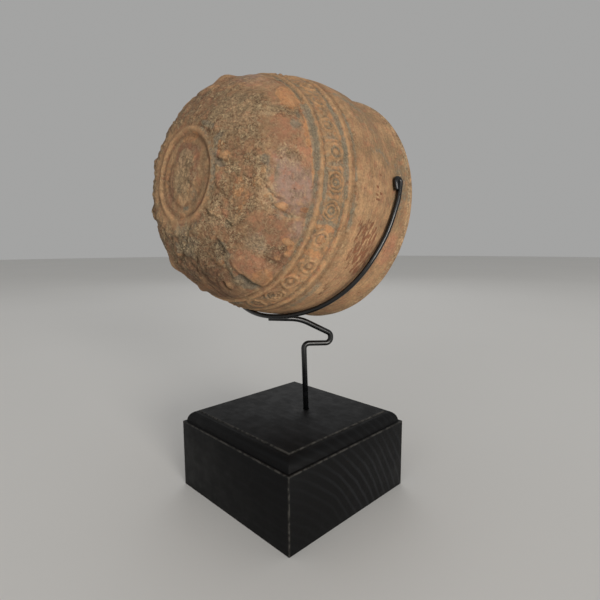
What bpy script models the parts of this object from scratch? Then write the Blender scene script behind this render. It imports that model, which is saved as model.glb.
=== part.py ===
"""Mould-made relief bowl of fired clay, lying in a bent-wire cradle above a black wooden block.

Metres, +Z up. The origin is the middle of the block's underside. The bowl's mouth faces +Y and its
relief underside faces -Y. Places on the bowl are given by an angle round its axis (0 degrees
towards +X, 90 degrees up) and by a distance, either from the plane of its rim or along its outside
from the middle of its underside.
"""

import math

import bmesh
import bpy
from mathutils import Matrix, Vector

MM = 0.001
TOUCH_GAP = 0.3 * MM

# Block
BLOCK_SIDE = 80.0 * MM
BLOCK_HEIGHT = 40.1 * MM
BEVEL_INSET = 6.0 * MM
BEVEL_DROP = 5.7 * MM
LEDGE_WIDTH = 1.5 * MM
TOP_STEP = 0.5 * MM
SOCKET_DEPTH = 18.0 * MM

# Post, in the upright plane that holds its bends
POST_DIAMETER = 2.8 * MM
POST_X = 3.6 * MM
POST_Y = 6.35 * MM
POST_PLANE_TURN = math.radians(60.1)
POST_BEND_INSIDE = 1.2 * MM
POST_LEAN = math.radians(1.8)
LOWER_ARM_REACH = 13.2 * MM
LOWER_ARM_SLOPE = math.radians(2.5)
LOWER_ARM_BELOW_CRADLE = 15.2 * MM
LOOP_OPENING = 2.1 * MM
UPPER_ARM_REACH = 21.5 * MM
UPPER_ARM_BEND_FROM_POST = 3.0 * MM
UPPER_ARM_BEND_BELOW_CRADLE = 2.5 * MM
UPPER_ARM_END_BELOW_CRADLE = 1.4 * MM
UPPER_ARM_BEND_RADIUS = 22.0 * MM

# Cradle
CRADLE_WIRE_DIAMETER = 2.3 * MM
CRADLE_ABOVE_BLOCK = 49.8 * MM
CRADLE_ARM_FROM_RIM = 6.9 * MM
CRADLE_BOTTOM_FROM_RIM = 33.0 * MM
CRADLE_TIP_ANGLE = math.radians(8.3)
CRADLE_STAND_OFF = 1.0 * MM
HOOK_GAP = 0.9 * MM
HOOK_LEG = 3.6 * MM
HOOK_CURL = 0.6 * MM
# How far the wire has dropped from its arm to its bottom, against degrees below the bowl's side
CRADLE_DROP = ((-9, 0.0), (0, 0.05), (15, 0.21), (30, 0.43), (45, 0.6), (60, 0.75), (72, 0.9), (90, 1.0))

# Bowl
RIM_RADIUS = 57.0 * MM
NECK_RADIUS = 53.7 * MM
NECK_FROM_RIM = 10.0 * MM
BELLY_RADIUS = 55.9 * MM
BELLY_FROM_RIM = 24.0 * MM
UNDERSIDE_FROM_RIM = 82.5 * MM
# How far the dome's curve would run on past the flat underside
DOME_RUN_ON = 3.0 * MM
DOME_DEPTH = UNDERSIDE_FROM_RIM + DOME_RUN_ON - BELLY_FROM_RIM
WALL = 4.0 * MM
FLOOR = 4.2 * MM
LIP_THICKNESS = 3.0 * MM
BOWL_TURN = math.radians(1.95)
BOWL_TILT = math.radians(6.5)
DOME_POWER = 2.8
FLARE_POWER = 1.3

# Relief on the bowl: heights stand out from the turned outside, distances run along it
BOSS_RADIUS = 10.5 * MM
BOSS_HEIGHT = 1.1 * MM
BOSS_PETALS = 8
PETAL_DEPTH = 0.5 * MM
FIELD_SINK = 0.5 * MM
RING_RADIUS = 18.8 * MM
RING_HEIGHT = 1.1 * MM
RIDGE_HEIGHT = 0.8 * MM
RIDGE_WIDTH = 1.3 * MM
RIDGE_GROOVE_OFFSET = 2.2 * MM
GROOVE_DEPTH = 0.6 * MM
BAND_WIDTH = 13.6 * MM
BAND_SINK = 0.9 * MM
BAND_SLOPE = 5.0 * MM
INNER_RIDGE = 63.9 * MM
OUTER_RIDGE = INNER_RIDGE + BAND_WIDTH
BAND_MIDDLE = INNER_RIDGE + BAND_WIDTH / 2
CALYX_FROM_RING = 3.2 * MM
CALYX_START = RING_RADIUS + CALYX_FROM_RING
CALYX_END = INNER_RIDGE - RIDGE_GROOVE_OFFSET
CALYX_SINK = 1.2 * MM
CALYX_SLOPE = 5.0 * MM
LEAVES = 14
LEAF_HEIGHT = 0.8 * MM
LEAF_GAP = 0.5 * MM
STEM_WIDTH = 3.0 * MM
STEM_HEIGHT = 1.3 * MM
BEAD_FROM_RING = 6.7 * MM
BEAD_RADIUS = 3.2 * MM
BEAD_HEIGHT = 1.3 * MM
BUD_FROM_RING = 15.2 * MM
BUD_RADIUS = 3.0 * MM
BLOSSOM_FROM_RIDGE = 13.4 * MM
BLOSSOM_RADIUS = 3.6 * MM
ROSETTES = 28
MOTIF_PHASE = math.radians(0.7)
ROSETTE_CLEARANCE = 0.2 * MM
ROSETTE_RADIUS = BAND_WIDTH / 2 - RIDGE_GROOVE_OFFSET - ROSETTE_CLEARANCE
ROSETTE_HEIGHT = 0.8 * MM
ROSETTE_RING_WIDTH = 2.6 * MM
ROSETTE_KNOB_RADIUS = 2.0 * MM
# Swollen places that stand out in the outline: angle round the bowl, distance, radius, height
SWELLINGS = (
    (math.radians(88), 51.0 * MM, 6.0 * MM, 2.2 * MM),
    (math.radians(-122), 45.5 * MM, 6.5 * MM, 2.4 * MM),
    (math.radians(-108), 57.0 * MM, 4.5 * MM, 1.9 * MM),
    (math.radians(-156), 32.0 * MM, 5.0 * MM, 1.5 * MM),
    (math.radians(162), 30.0 * MM, 4.0 * MM, 1.3 * MM),
)

# Fineness of the meshes
COLUMNS = 4 * ROSETTES
FEW_COLUMNS = COLUMNS // 2
OUTLINE_STEPS = 90
ARC_STEPS = 5
CRADLE_STEP = math.radians(6.0)
CALYX_ROW = 4.2 * MM
SOCKET_SIDES = 16


def smooth(share):
    """A share from 0 to 1, eased at both ends."""
    share = min(max(share, 0.0), 1.0)
    return share * share * (3 - 2 * share)


def between(stations, at):
    """The value at a place among (place, value) stations, joined without corners."""
    last = len(stations) - 1
    slopes = []
    for i in range(last + 1):
        low = stations[max(i - 1, 0)]
        high = stations[min(i + 1, last)]
        slopes.append((high[1] - low[1]) / (high[0] - low[0]) if 0 < i < last else 0.0)
    if at <= stations[0][0]:
        return stations[0][1]
    if at >= stations[last][0]:
        return stations[last][1]
    i = max(j for j in range(last) if stations[j][0] <= at)
    (x0, y0), (x1, y1) = stations[i], stations[i + 1]
    run = x1 - x0
    t = (at - x0) / run
    return (
        y0 * (1 + 2 * t) * (1 - t) ** 2
        + slopes[i] * run * t * (1 - t) ** 2
        + y1 * t * t * (3 - 2 * t)
        + slopes[i + 1] * run * t * t * (t - 1)
    )


# The bowl's turned shape


def dome_radius(from_rim, widest, depth):
    share = min((from_rim - BELLY_FROM_RIM) / depth, 1.0)
    return widest * max(1 - share * share, 0.0) ** (1 / DOME_POWER)


def outside_radius(from_rim):
    """The radius of the plain outside: flared rim, neck, belly, dome."""
    if from_rim >= BELLY_FROM_RIM:
        return dome_radius(from_rim, BELLY_RADIUS, DOME_DEPTH)
    if from_rim >= NECK_FROM_RIM:
        share = smooth((from_rim - NECK_FROM_RIM) / (BELLY_FROM_RIM - NECK_FROM_RIM))
        return NECK_RADIUS + (BELLY_RADIUS - NECK_RADIUS) * share
    share = 1 - from_rim / NECK_FROM_RIM
    return NECK_RADIUS + (RIM_RADIUS - NECK_RADIUS) * share**FLARE_POWER


def inside_radius(from_rim):
    """The radius of the hollow, thinner-walled at the lip."""
    if from_rim >= BELLY_FROM_RIM:
        depth = UNDERSIDE_FROM_RIM - FLOOR - BELLY_FROM_RIM
        return dome_radius(from_rim, BELLY_RADIUS - WALL, depth)
    wall = LIP_THICKNESS + (WALL - LIP_THICKNESS) * smooth(from_rim / NECK_FROM_RIM)
    return outside_radius(from_rim) - wall


def outside_line():
    """(distance along, radius, distance from rim) from the middle of the underside to the lip."""
    level = (UNDERSIDE_FROM_RIM - BELLY_FROM_RIM) / DOME_DEPTH
    start = math.asin(min(level, 1.0))
    points = [(0.0, UNDERSIDE_FROM_RIM)]
    for i in range(OUTLINE_STEPS):
        from_rim = BELLY_FROM_RIM + DOME_DEPTH * math.sin(start * (1 - i / OUTLINE_STEPS))
        points.append((outside_radius(from_rim), from_rim))
    for i in range(OUTLINE_STEPS + 1):
        from_rim = BELLY_FROM_RIM * (1 - i / OUTLINE_STEPS)
        points.append((outside_radius(from_rim), from_rim))
    line = []
    along = 0.0
    for i, (radius, from_rim) in enumerate(points):
        if i:
            along += math.hypot(radius - points[i - 1][0], from_rim - points[i - 1][1])
        line.append((along, radius, from_rim))
    return line


OUTSIDE = outside_line()
OUTSIDE_LENGTH = OUTSIDE[-1][0]


def on_line(along):
    """(radius, distance from rim) at a distance along the outside."""
    along = min(max(along, 0.0), OUTSIDE_LENGTH)
    low, high = 0, len(OUTSIDE) - 1
    while high - low > 1:
        middle = (low + high) // 2
        if OUTSIDE[middle][0] <= along:
            low = middle
        else:
            high = middle
    before, after = OUTSIDE[low], OUTSIDE[high]
    share = (along - before[0]) / (after[0] - before[0])
    radius = before[1] + (after[1] - before[1]) * share
    return radius, before[2] + (after[2] - before[2]) * share


def along_from_rim(from_rim):
    """The distance along the outside of a place given by its distance from the rim."""
    place = next(i for i, point in enumerate(OUTSIDE) if i and point[2] <= from_rim)
    before, after = OUTSIDE[place - 1], OUTSIDE[place]
    share = (from_rim - before[2]) / (after[2] - before[2])
    return before[0] + (after[0] - before[0]) * share


def on_outside(angle, along, lift=0.0):
    """A point of the bowl in its own frame, lifted off the plain outside along its normal."""
    reach = 0.8 * MM
    radius, from_rim = on_line(along)
    before, after = on_line(along - reach), on_line(along + reach)
    run, fall = after[0] - before[0], before[1] - after[1]
    length = math.hypot(run, fall)
    radius += lift * fall / length
    from_rim += lift * run / length
    return Vector((radius * math.cos(angle), radius * math.sin(angle), from_rim))


# The bowl's relief


def bump(distance, width, height):
    """A round-topped ridge or knob: full height in the middle, nothing beyond its width."""
    share = abs(distance) / width
    return height * math.cos(share * math.pi / 2) ** 2 if share < 1 else 0.0


def turn_from(angle, centre, count=1):
    """The angle to the nearest of a count of like things round the bowl, one of them at centre."""
    step = 2 * math.pi / count
    return (angle - centre + step / 2) % step - step / 2


def medallion(angle, along):
    """The ringed underside: a worn rosette boss in a shallow dish."""
    dish = -FIELD_SINK * smooth((RING_RADIUS - along) / RIDGE_WIDTH)
    boss = BOSS_HEIGHT * smooth((BOSS_RADIUS - along) / (BOSS_RADIUS / 3))
    between_petals = 0.5 + 0.5 * math.cos(BOSS_PETALS * angle)
    boss -= PETAL_DEPTH * between_petals * bump(along - BOSS_RADIUS / 2, BOSS_RADIUS / 2, 1.0)
    ring = bump(along - RING_RADIUS, 2 * RIDGE_WIDTH, RING_HEIGHT)
    return dish + boss + ring


def calyx(angle, along):
    """Long leaves round the medallion, with beads, stems, buds and blossoms between them."""
    if along < CALYX_START or along > CALYX_END:
        return 0.0
    radius = on_line(along)[0]
    edge = smooth((along - CALYX_START) / CALYX_SLOPE) * smooth((CALYX_END - along) / CALYX_SLOPE)
    across = radius * turn_from(angle, MOTIF_PHASE, LEAVES)
    between_leaves = MOTIF_PHASE + math.pi / LEAVES
    aside = radius * turn_from(angle, between_leaves, LEAVES)
    leaf_half = math.pi * radius / LEAVES - STEM_WIDTH / 2 + LEAF_GAP
    leaf = LEAF_HEIGHT * smooth(2 * (1 - abs(across) / leaf_half))
    leaf *= smooth((along - RING_RADIUS - BUD_FROM_RING) / BUD_RADIUS)
    bead, bud, blossom = calyx_places()
    stem = bump(aside, STEM_WIDTH / 2, STEM_HEIGHT) * smooth((blossom - along) / BLOSSOM_RADIUS)
    relief = [leaf * edge, stem * edge]
    knobs = ((bead, BEAD_RADIUS, aside), (bud, BUD_RADIUS, across), (blossom, BLOSSOM_RADIUS, aside))
    for place, size, off_line in knobs:
        relief.append(bump(math.hypot(off_line, along - place), size, BEAD_HEIGHT))
    return max(relief) - CALYX_SINK * edge


def calyx_places():
    """The distances of the beads, the buds and the blossoms."""
    return RING_RADIUS + BEAD_FROM_RING, RING_RADIUS + BUD_FROM_RING, INNER_RIDGE - BLOSSOM_FROM_RIDGE


def rosette_profile(distance):
    middle = ROSETTE_RADIUS - ROSETTE_RING_WIDTH / 2
    ring = bump(distance - middle, ROSETTE_RING_WIDTH / 2, ROSETTE_HEIGHT)
    return ring + bump(distance, ROSETTE_KNOB_RADIUS, ROSETTE_HEIGHT)


def band(angle, along):
    """The slightly sunk rosette band between its two ridges and their grooves."""
    inner = smooth((along - INNER_RIDGE) / BAND_SLOPE + 1.5)
    outer = smooth((OUTER_RIDGE - along) / BAND_SLOPE + 1.5)
    relief = -BAND_SINK * inner * outer
    for ridge in (INNER_RIDGE, OUTER_RIDGE):
        relief += bump(along - ridge, RIDGE_WIDTH, RIDGE_HEIGHT)
        for side in (-RIDGE_GROOVE_OFFSET, RIDGE_GROOVE_OFFSET):
            relief -= bump(along - ridge - side, RIDGE_WIDTH, GROOVE_DEPTH)
    aside = on_line(BAND_MIDDLE)[0] * turn_from(angle, MOTIF_PHASE, ROSETTES)
    return relief + rosette_profile(math.hypot(aside, along - BAND_MIDDLE))


def swellings(angle, along):
    radius = on_line(along)[0]
    relief = 0.0
    for centre, place, size, height in SWELLINGS:
        aside = radius * turn_from(angle, centre)
        relief += bump(math.hypot(aside, along - place), size, height)
    return relief


def relief(angle, along):
    if along < CALYX_START:
        return medallion(angle, along)
    return calyx(angle, along) + band(angle, along) + swellings(angle, along)


# The bowl's mesh


def ring_of(bm, along, columns):
    """A closed row of points round the outside, on the relief."""
    first = MOTIF_PHASE + math.pi / ROSETTES
    row = []
    for i in range(columns):
        angle = first + 2 * math.pi * i / columns
        row.append(bm.verts.new(on_outside(angle, along, relief(angle, along))))
    return row


def join_rows(bm, lower, upper):
    """Faces between two closed rows, one of which may have twice the other's points."""
    fine, coarse = (lower, upper) if len(lower) >= len(upper) else (upper, lower)
    ratio = len(fine) // len(coarse)
    for i in range(len(coarse)):
        corners = [fine[(i * ratio + j) % len(fine)] for j in range(ratio + 1)]
        corners += [coarse[(i + 1) % len(coarse)], coarse[i]]
        if ratio == 1:
            bm.faces.new(corners)
        else:
            bm.faces.new((corners[0], corners[1], corners[-1]))
            bm.faces.new((corners[1], corners[-2], corners[-1]))
            bm.faces.new((corners[1], corners[2], corners[-2]))


def rosette_cells(bm, lower, upper):
    """Fills the band between two fine rows with rosettes, each in a cell four columns wide."""
    radius = on_line(BAND_MIDDLE)[0]
    edge = ROSETTE_RADIUS + ROSETTE_CLEARANCE
    sides = []
    for k in range(ROSETTES):
        angle = MOTIF_PHASE + (2 * k + 1) * math.pi / ROSETTES
        sides.append(bm.verts.new(on_outside(angle, BAND_MIDDLE, relief(angle, BAND_MIDDLE))))
    for k in range(ROSETTES):
        centre = MOTIF_PHASE + 2 * math.pi * (k + 1) / ROSETTES
        low = [lower[(4 * k + j) % COLUMNS] for j in range(5)]
        high = [upper[(4 * k + j) % COLUMNS] for j in range(5)]
        outer = [sides[(k + 1) % ROSETTES], *reversed(high), sides[k], *low]
        for size in (edge, ROSETTE_RADIUS - ROSETTE_RING_WIDTH / 2, ROSETTE_KNOB_RADIUS):
            inner = []
            for j in range(len(outer)):
                turn = 2 * math.pi * j / len(outer)
                along = BAND_MIDDLE + size * math.sin(turn)
                angle = centre + size * math.cos(turn) / radius
                inner.append(bm.verts.new(on_outside(angle, along, relief(angle, along))))
            join_rows(bm, outer, inner)
            outer = inner
        knob = bm.verts.new(on_outside(centre, BAND_MIDDLE, relief(centre, BAND_MIDDLE)))
        close_with(bm, outer, knob)


def close_with(bm, row, point):
    for i in range(len(row)):
        bm.faces.new((row[i], row[(i + 1) % len(row)], point))


def spread(start, end, count):
    """Places from start to end, leaving out start."""
    return [start + (end - start) * (i + 1) / count for i in range(count)]


def calyx_rows():
    """Where the calyx has rows of points: on the motifs and their ends, and between them."""
    rows = [CALYX_START, CALYX_END]
    for place, size in zip(calyx_places(), (BEAD_RADIUS, BUD_RADIUS, BLOSSOM_RADIUS)):
        rows += [place - size, place, place + size]
    rows = sorted(along for along in rows if CALYX_START <= along <= CALYX_END)
    kept = [rows[0]]
    for along in rows[1:]:
        steps = round((along - kept[-1]) / CALYX_ROW)
        kept += spread(kept[-1], along, steps)
    return kept


def bowl_mesh():
    """One closed wall: relief outside, rounded lip, plain hollow inside."""
    bm = bmesh.new()
    pole = bm.verts.new(on_outside(0.0, 0.0, relief(0.0, 0.0)))
    dish = spread(0.0, BOSS_RADIUS, 2) + spread(BOSS_RADIUS, RING_RADIUS, 3)
    cell_start = INNER_RIDGE + RIDGE_GROOVE_OFFSET - 2 * ROSETTE_CLEARANCE
    cell_end = OUTER_RIDGE - RIDGE_GROOVE_OFFSET + 2 * ROSETTE_CLEARANCE
    fine_end = OUTER_RIDGE + RIDGE_GROOVE_OFFSET
    neck = along_from_rim(NECK_FROM_RIM)
    row = ring_of(bm, dish[0], FEW_COLUMNS)
    close_with(bm, row, pole)
    plan = [(along, FEW_COLUMNS) for along in dish[1:]]
    plan += [(along, COLUMNS) for along in (*calyx_rows(), INNER_RIDGE, cell_start)]
    for along, columns in plan:
        row = join_to(bm, row, ring_of(bm, along, columns))
    cells = ring_of(bm, cell_end, COLUMNS)
    rosette_cells(bm, row, cells)
    row = cells
    plan = [(along, COLUMNS) for along in (OUTER_RIDGE, fine_end, fine_end + RIDGE_WIDTH)]
    plan += [(along, FEW_COLUMNS) for along in spread(fine_end + RIDGE_WIDTH, neck, 3)]
    plan += [(along, FEW_COLUMNS) for along in spread(neck, OUTSIDE_LENGTH, 3)]
    for along, columns in plan:
        row = join_to(bm, row, ring_of(bm, along, columns))
    for radius, from_rim in (*lip_line(), *hollow_line()):
        row = join_to(bm, row, plain_ring(bm, radius, from_rim))
    floor = bm.verts.new((0.0, 0.0, UNDERSIDE_FROM_RIM - FLOOR))
    close_with(bm, row, floor)
    bmesh.ops.recalc_face_normals(bm, faces=bm.faces)
    return bm


def join_to(bm, row, following):
    join_rows(bm, row, following)
    return following


def plain_ring(bm, radius, from_rim):
    first = MOTIF_PHASE + math.pi / ROSETTES
    row = []
    for i in range(FEW_COLUMNS):
        angle = first + 2 * math.pi * i / FEW_COLUMNS
        place = (radius * math.cos(angle), radius * math.sin(angle), from_rim)
        row.append(bm.verts.new(place))
    return row


def lip_line():
    """The rounded edge of the lip, outside to inside, beyond the last row of the outside."""
    half = LIP_THICKNESS / 2
    middle = RIM_RADIUS - half
    turns = (math.pi / 3, 2 * math.pi / 3)
    return [(middle + half * math.cos(t), -half * math.sin(t) * 0.8) for t in turns]


def hollow_line():
    """(radius, distance from rim) down the inside, from the lip to beside the floor."""
    depth = UNDERSIDE_FROM_RIM - FLOOR - BELLY_FROM_RIM
    line = [(inside_radius(0.0), 0.0)]
    for from_rim in (NECK_FROM_RIM / 2, NECK_FROM_RIM, BELLY_FROM_RIM):
        line.append((inside_radius(from_rim), from_rim))
    for i in range(1, 6):
        from_rim = BELLY_FROM_RIM + depth * math.sin(math.pi / 2 * i / 6)
        line.append((inside_radius(from_rim), from_rim))
    return line


# Wire paths


def rounded(corners, radii, steps):
    """A flat path through corners, each but the first and last rounded to its radius."""
    path = [corners[0]]
    for i, radius in enumerate(radii, start=1):
        corner = Vector(corners[i])
        back = (Vector(corners[i - 1]) - corner).normalized()
        on = (Vector(corners[i + 1]) - corner).normalized()
        half = back.angle(on) / 2
        centre = corner + (back + on).normalized() * (radius / math.sin(half))
        start = corner + back * (radius / math.tan(half)) - centre
        end = corner + on * (radius / math.tan(half)) - centre
        turn = math.atan2(start.x * end.y - start.y * end.x, start.dot(end))
        for j in range(steps + 1):
            around = turn * j / steps
            cosine, sine = math.cos(around), math.sin(around)
            x = start.x * cosine - start.y * sine
            y = start.x * sine + start.y * cosine
            path.append((centre.x + x, centre.y + y))
    path.append(corners[-1])
    return path


def wire(name, points, diameter):
    """A round wire with flat ends along a path."""
    curve = bpy.data.curves.new(name, "CURVE")
    curve.dimensions = "3D"
    curve.bevel_depth = diameter / 2
    curve.bevel_resolution = 2
    curve.use_fill_caps = True
    spline = curve.splines.new("POLY")
    spline.points.add(len(points) - 1)
    for point, place in zip(spline.points, points):
        point.co = (*place, 1.0)
    spline.use_smooth = True
    return put_in_scene(name, curve)


def cradle_from_rim(angle):
    """The wire's distance from the rim, by its angle round the bowl."""
    share = between(CRADLE_DROP, -math.degrees(angle))
    return CRADLE_ARM_FROM_RIM + (CRADLE_BOTTOM_FROM_RIM - CRADLE_ARM_FROM_RIM) * share


def cradle_point(angle, from_rim):
    """A point of the wire's middle line, which stands off the bowl between arms and bottom."""
    lift = TOUCH_GAP + CRADLE_WIRE_DIAMETER / 2
    lift += CRADLE_STAND_OFF * math.sin(2 * min(angle, 0.0)) ** 2
    return on_outside(angle, along_from_rim(from_rim), lift)


def cradle_points():
    """From one arm's hooked end, round under the bowl, to the other's, in the bowl's frame."""
    turn = (CRADLE_WIRE_DIAMETER + HOOK_GAP) / 2
    arm = cradle_from_rim(CRADLE_TIP_ANGLE)
    side = outside_radius(arm) + CRADLE_WIRE_DIAMETER / 2
    near = [cradle_point(CRADLE_TIP_ANGLE - HOOK_LEG / side, arm + 2 * turn - HOOK_CURL)]
    for i in range(ARC_STEPS + 1):
        around = math.pi * i / ARC_STEPS
        angle = CRADLE_TIP_ANGLE + turn * math.sin(around) / side
        near.append(cradle_point(angle, arm + turn * (1 + math.cos(around))))
    steps = round((CRADLE_TIP_ANGLE + math.pi / 2) / CRADLE_STEP)
    for i in range(1, steps + 1):
        angle = CRADLE_TIP_ANGLE - (CRADLE_TIP_ANGLE + math.pi / 2) * i / steps
        near.append(cradle_point(angle, cradle_from_rim(angle)))
    far = [Vector((-point.x, point.y, point.z)) for point in reversed(near[:-1])]
    return near + far


# Where the pieces stand


def bowl_frame():
    """The bowl's axis and up direction, in the room."""
    axis = Vector((math.sin(BOWL_TURN), -math.cos(BOWL_TURN), 0.0)) * math.cos(BOWL_TILT)
    axis.z = math.sin(BOWL_TILT)
    side = Vector((math.cos(BOWL_TURN), math.sin(BOWL_TURN), 0.0))
    frame = Matrix((side, axis.cross(side), axis)).transposed().to_4x4()
    bottom = frame @ cradle_point(-math.pi / 2, CRADLE_BOTTOM_FROM_RIM)
    place = cradle_bottom() - bottom
    return Matrix.Translation(place) @ frame


def post_plane():
    """The level direction, in the room, in which the post's lower arm reaches out."""
    return Vector((math.cos(POST_PLANE_TURN), math.sin(POST_PLANE_TURN), 0.0))


def cradle_bottom():
    """The middle of the wire at the cradle's lowest point, in the room."""
    foot = Vector((POST_X, POST_Y, BLOCK_HEIGHT + CRADLE_ABOVE_BLOCK))
    return foot - post_plane() * UPPER_ARM_REACH


def post_points():
    """From the foot of the socket up through the S-bend to beside the cradle's bottom."""
    level = BLOCK_HEIGHT + CRADLE_ABOVE_BLOCK
    low = level - LOWER_ARM_BELOW_CRADLE
    lowest = low - LOWER_ARM_REACH * math.sin(LOWER_ARM_SLOPE)
    lean = math.tan(POST_LEAN)
    buried = SOCKET_DEPTH - TOUCH_GAP
    between_wires = POST_PLANE_TURN - BOWL_TURN
    ends = CRADLE_WIRE_DIAMETER / 2 + TOUCH_GAP
    ends += POST_DIAMETER / 2 * math.cos(between_wires)
    end = UPPER_ARM_REACH - ends / math.sin(between_wires)
    bend = POST_DIAMETER / 2 + POST_BEND_INSIDE
    corners = [
        (buried * lean, BLOCK_HEIGHT - buried),
        ((BLOCK_HEIGHT - low) * lean, low),
        (LOWER_ARM_REACH, lowest),
        (LOWER_ARM_REACH, lowest + POST_DIAMETER + LOOP_OPENING),
        (-UPPER_ARM_BEND_FROM_POST, level - UPPER_ARM_BEND_BELOW_CRADLE),
        (-end, level - UPPER_ARM_END_BELOW_CRADLE),
    ]
    path = rounded(corners, (bend, bend, bend, UPPER_ARM_BEND_RADIUS), ARC_STEPS)
    foot = Vector((POST_X, POST_Y, 0.0))
    return [foot + post_plane() * out + Vector((0.0, 0.0, up)) for out, up in path]


# Objects


def put_in_scene(name, data):
    piece = bpy.data.objects.new(name, data)
    bpy.context.scene.collection.objects.link(piece)
    return piece


def mesh_object(name, bm):
    mesh = bpy.data.meshes.new(name)
    bm.to_mesh(mesh)
    bm.free()
    return put_in_scene(name, mesh)


def finish_with(piece, colour, roughness, metallic=0.0):
    material = bpy.data.materials.new(piece.name)
    material.use_nodes = True
    shader = material.node_tree.nodes["Principled BSDF"]
    shader.inputs["Base Color"].default_value = (*colour, 1.0)
    shader.inputs["Roughness"].default_value = roughness
    shader.inputs["Metallic"].default_value = metallic
    piece.data.materials.append(material)


def make_bowl():
    bowl = mesh_object("bowl", bowl_mesh())
    bowl.matrix_world = bowl_frame()
    bowl.data.shade_smooth()
    bowl.data.set_sharp_from_angle(angle=math.radians(50))
    finish_with(bowl, (0.31, 0.2, 0.13), 0.85)


def make_cradle():
    cradle = wire("cradle", cradle_points(), CRADLE_WIRE_DIAMETER)
    cradle.matrix_world = bowl_frame()
    finish_with(cradle, (0.015, 0.015, 0.016), 0.35, 0.6)


def make_post():
    post = wire("post", post_points(), POST_DIAMETER)
    finish_with(post, (0.015, 0.015, 0.016), 0.35, 0.6)


def moulding_line():
    """(inset, height) of the block's top edge: a ledge, a quarter round and a small step."""
    shoulder = BLOCK_HEIGHT - BEVEL_DROP
    width, rise = BEVEL_INSET - LEDGE_WIDTH, BEVEL_DROP - TOP_STEP
    line = []
    for i in range(ARC_STEPS):
        turn = math.pi / 2 * i / (ARC_STEPS - 1)
        line.append((BEVEL_INSET - width * math.cos(turn), shoulder + rise * math.sin(turn)))
    return line + [(BEVEL_INSET, BLOCK_HEIGHT)]


def make_block():
    """A square block with a rounded moulding round its top and a blind socket for the post."""
    bm = bmesh.new()
    shoulder = BLOCK_HEIGHT - BEVEL_DROP
    size = Matrix.Diagonal((BLOCK_SIDE, BLOCK_SIDE, shoulder, 1.0))
    place = Matrix.Translation((0.0, 0.0, shoulder / 2))
    bmesh.ops.create_cube(bm, size=1.0, matrix=place @ size)
    top = max(bm.faces, key=lambda face: face.calc_center_median().z)
    for inset, height in moulding_line():
        top = bmesh.ops.extrude_discrete_faces(bm, faces=[top])["faces"][0]
        half = BLOCK_SIDE / 2 - inset
        for vert in top.verts:
            vert.co = (math.copysign(half, vert.co.x), math.copysign(half, vert.co.y), height)
    block = mesh_object("base_block", bm)
    finish_with(block, (0.012, 0.012, 0.013), 0.45)
    bm = bmesh.new()
    radius = POST_DIAMETER / 2 + TOUCH_GAP
    hinge = post_plane().cross(Vector((0.0, 0.0, 1.0)))
    place = Matrix.Translation((POST_X, POST_Y, BLOCK_HEIGHT))
    place @= Matrix.Rotation(POST_LEAN, 4, hinge)
    bmesh.ops.create_cone(
        bm,
        cap_ends=True,
        segments=SOCKET_SIDES,
        radius1=radius,
        radius2=radius,
        depth=2 * SOCKET_DEPTH,
        matrix=place,
    )
    socket = mesh_object("socket", bm)
    socket.hide_render = True
    socket.display_type = "WIRE"
    cut = block.modifiers.new("socket", "BOOLEAN")
    cut.operation = "DIFFERENCE"
    cut.solver = "EXACT"
    cut.object = socket


def clear_scene():
    for piece in list(bpy.data.objects):
        bpy.data.objects.remove(piece, do_unlink=True)


def main():
    clear_scene()
    make_block()
    make_post()
    make_cradle()
    make_bowl()


main()
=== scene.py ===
"""A relief bowl of fired clay, mouth outward in its wire cradle above a black wooden block."""

import math

import bpy
import numpy as np
from mathutils import Matrix, Vector


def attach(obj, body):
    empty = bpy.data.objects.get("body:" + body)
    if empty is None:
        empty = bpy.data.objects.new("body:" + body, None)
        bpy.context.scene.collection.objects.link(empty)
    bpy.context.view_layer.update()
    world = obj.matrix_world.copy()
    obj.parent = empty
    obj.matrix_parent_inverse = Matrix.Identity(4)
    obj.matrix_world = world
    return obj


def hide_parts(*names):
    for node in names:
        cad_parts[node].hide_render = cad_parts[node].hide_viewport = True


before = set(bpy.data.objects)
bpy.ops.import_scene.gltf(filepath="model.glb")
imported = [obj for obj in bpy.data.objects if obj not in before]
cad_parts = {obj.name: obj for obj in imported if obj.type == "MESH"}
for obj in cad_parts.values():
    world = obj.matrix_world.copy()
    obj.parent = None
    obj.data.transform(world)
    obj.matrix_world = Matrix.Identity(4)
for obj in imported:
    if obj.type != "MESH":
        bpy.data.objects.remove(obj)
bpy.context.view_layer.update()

MM = 0.001

# The bowl's turned shape, in millimetres, as in the solid

RIM_RADIUS = 57.0
NECK_RADIUS = 53.7
NECK_FROM_RIM = 10.0
BELLY_RADIUS = 55.9
BELLY_FROM_RIM = 24.0
UNDERSIDE_FROM_RIM = 82.5
DOME_DEPTH = 61.5
DOME_POWER = 2.8
FLARE_POWER = 1.3
WALL = 4.0
FLOOR = 4.2
LIP_THICKNESS = 3.0
RIM_CENTRE = Vector((-8.46, 27.06, 142.69)) * MM
BOWL_TURN = math.radians(1.95)
BOWL_TILT = math.radians(6.5)

# Where its relief lies: distances along the outside from the middle of the underside

BOSS_RADIUS = 10.5
RING = 18.5
RING_OFF = (1.7, 0.2)
INNER_RIDGE = 63.9
OUTER_RIDGE = 77.5
BAND_MIDDLE = 70.7

# The wires: the cradle under the bowl and the post, and the black block

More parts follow.
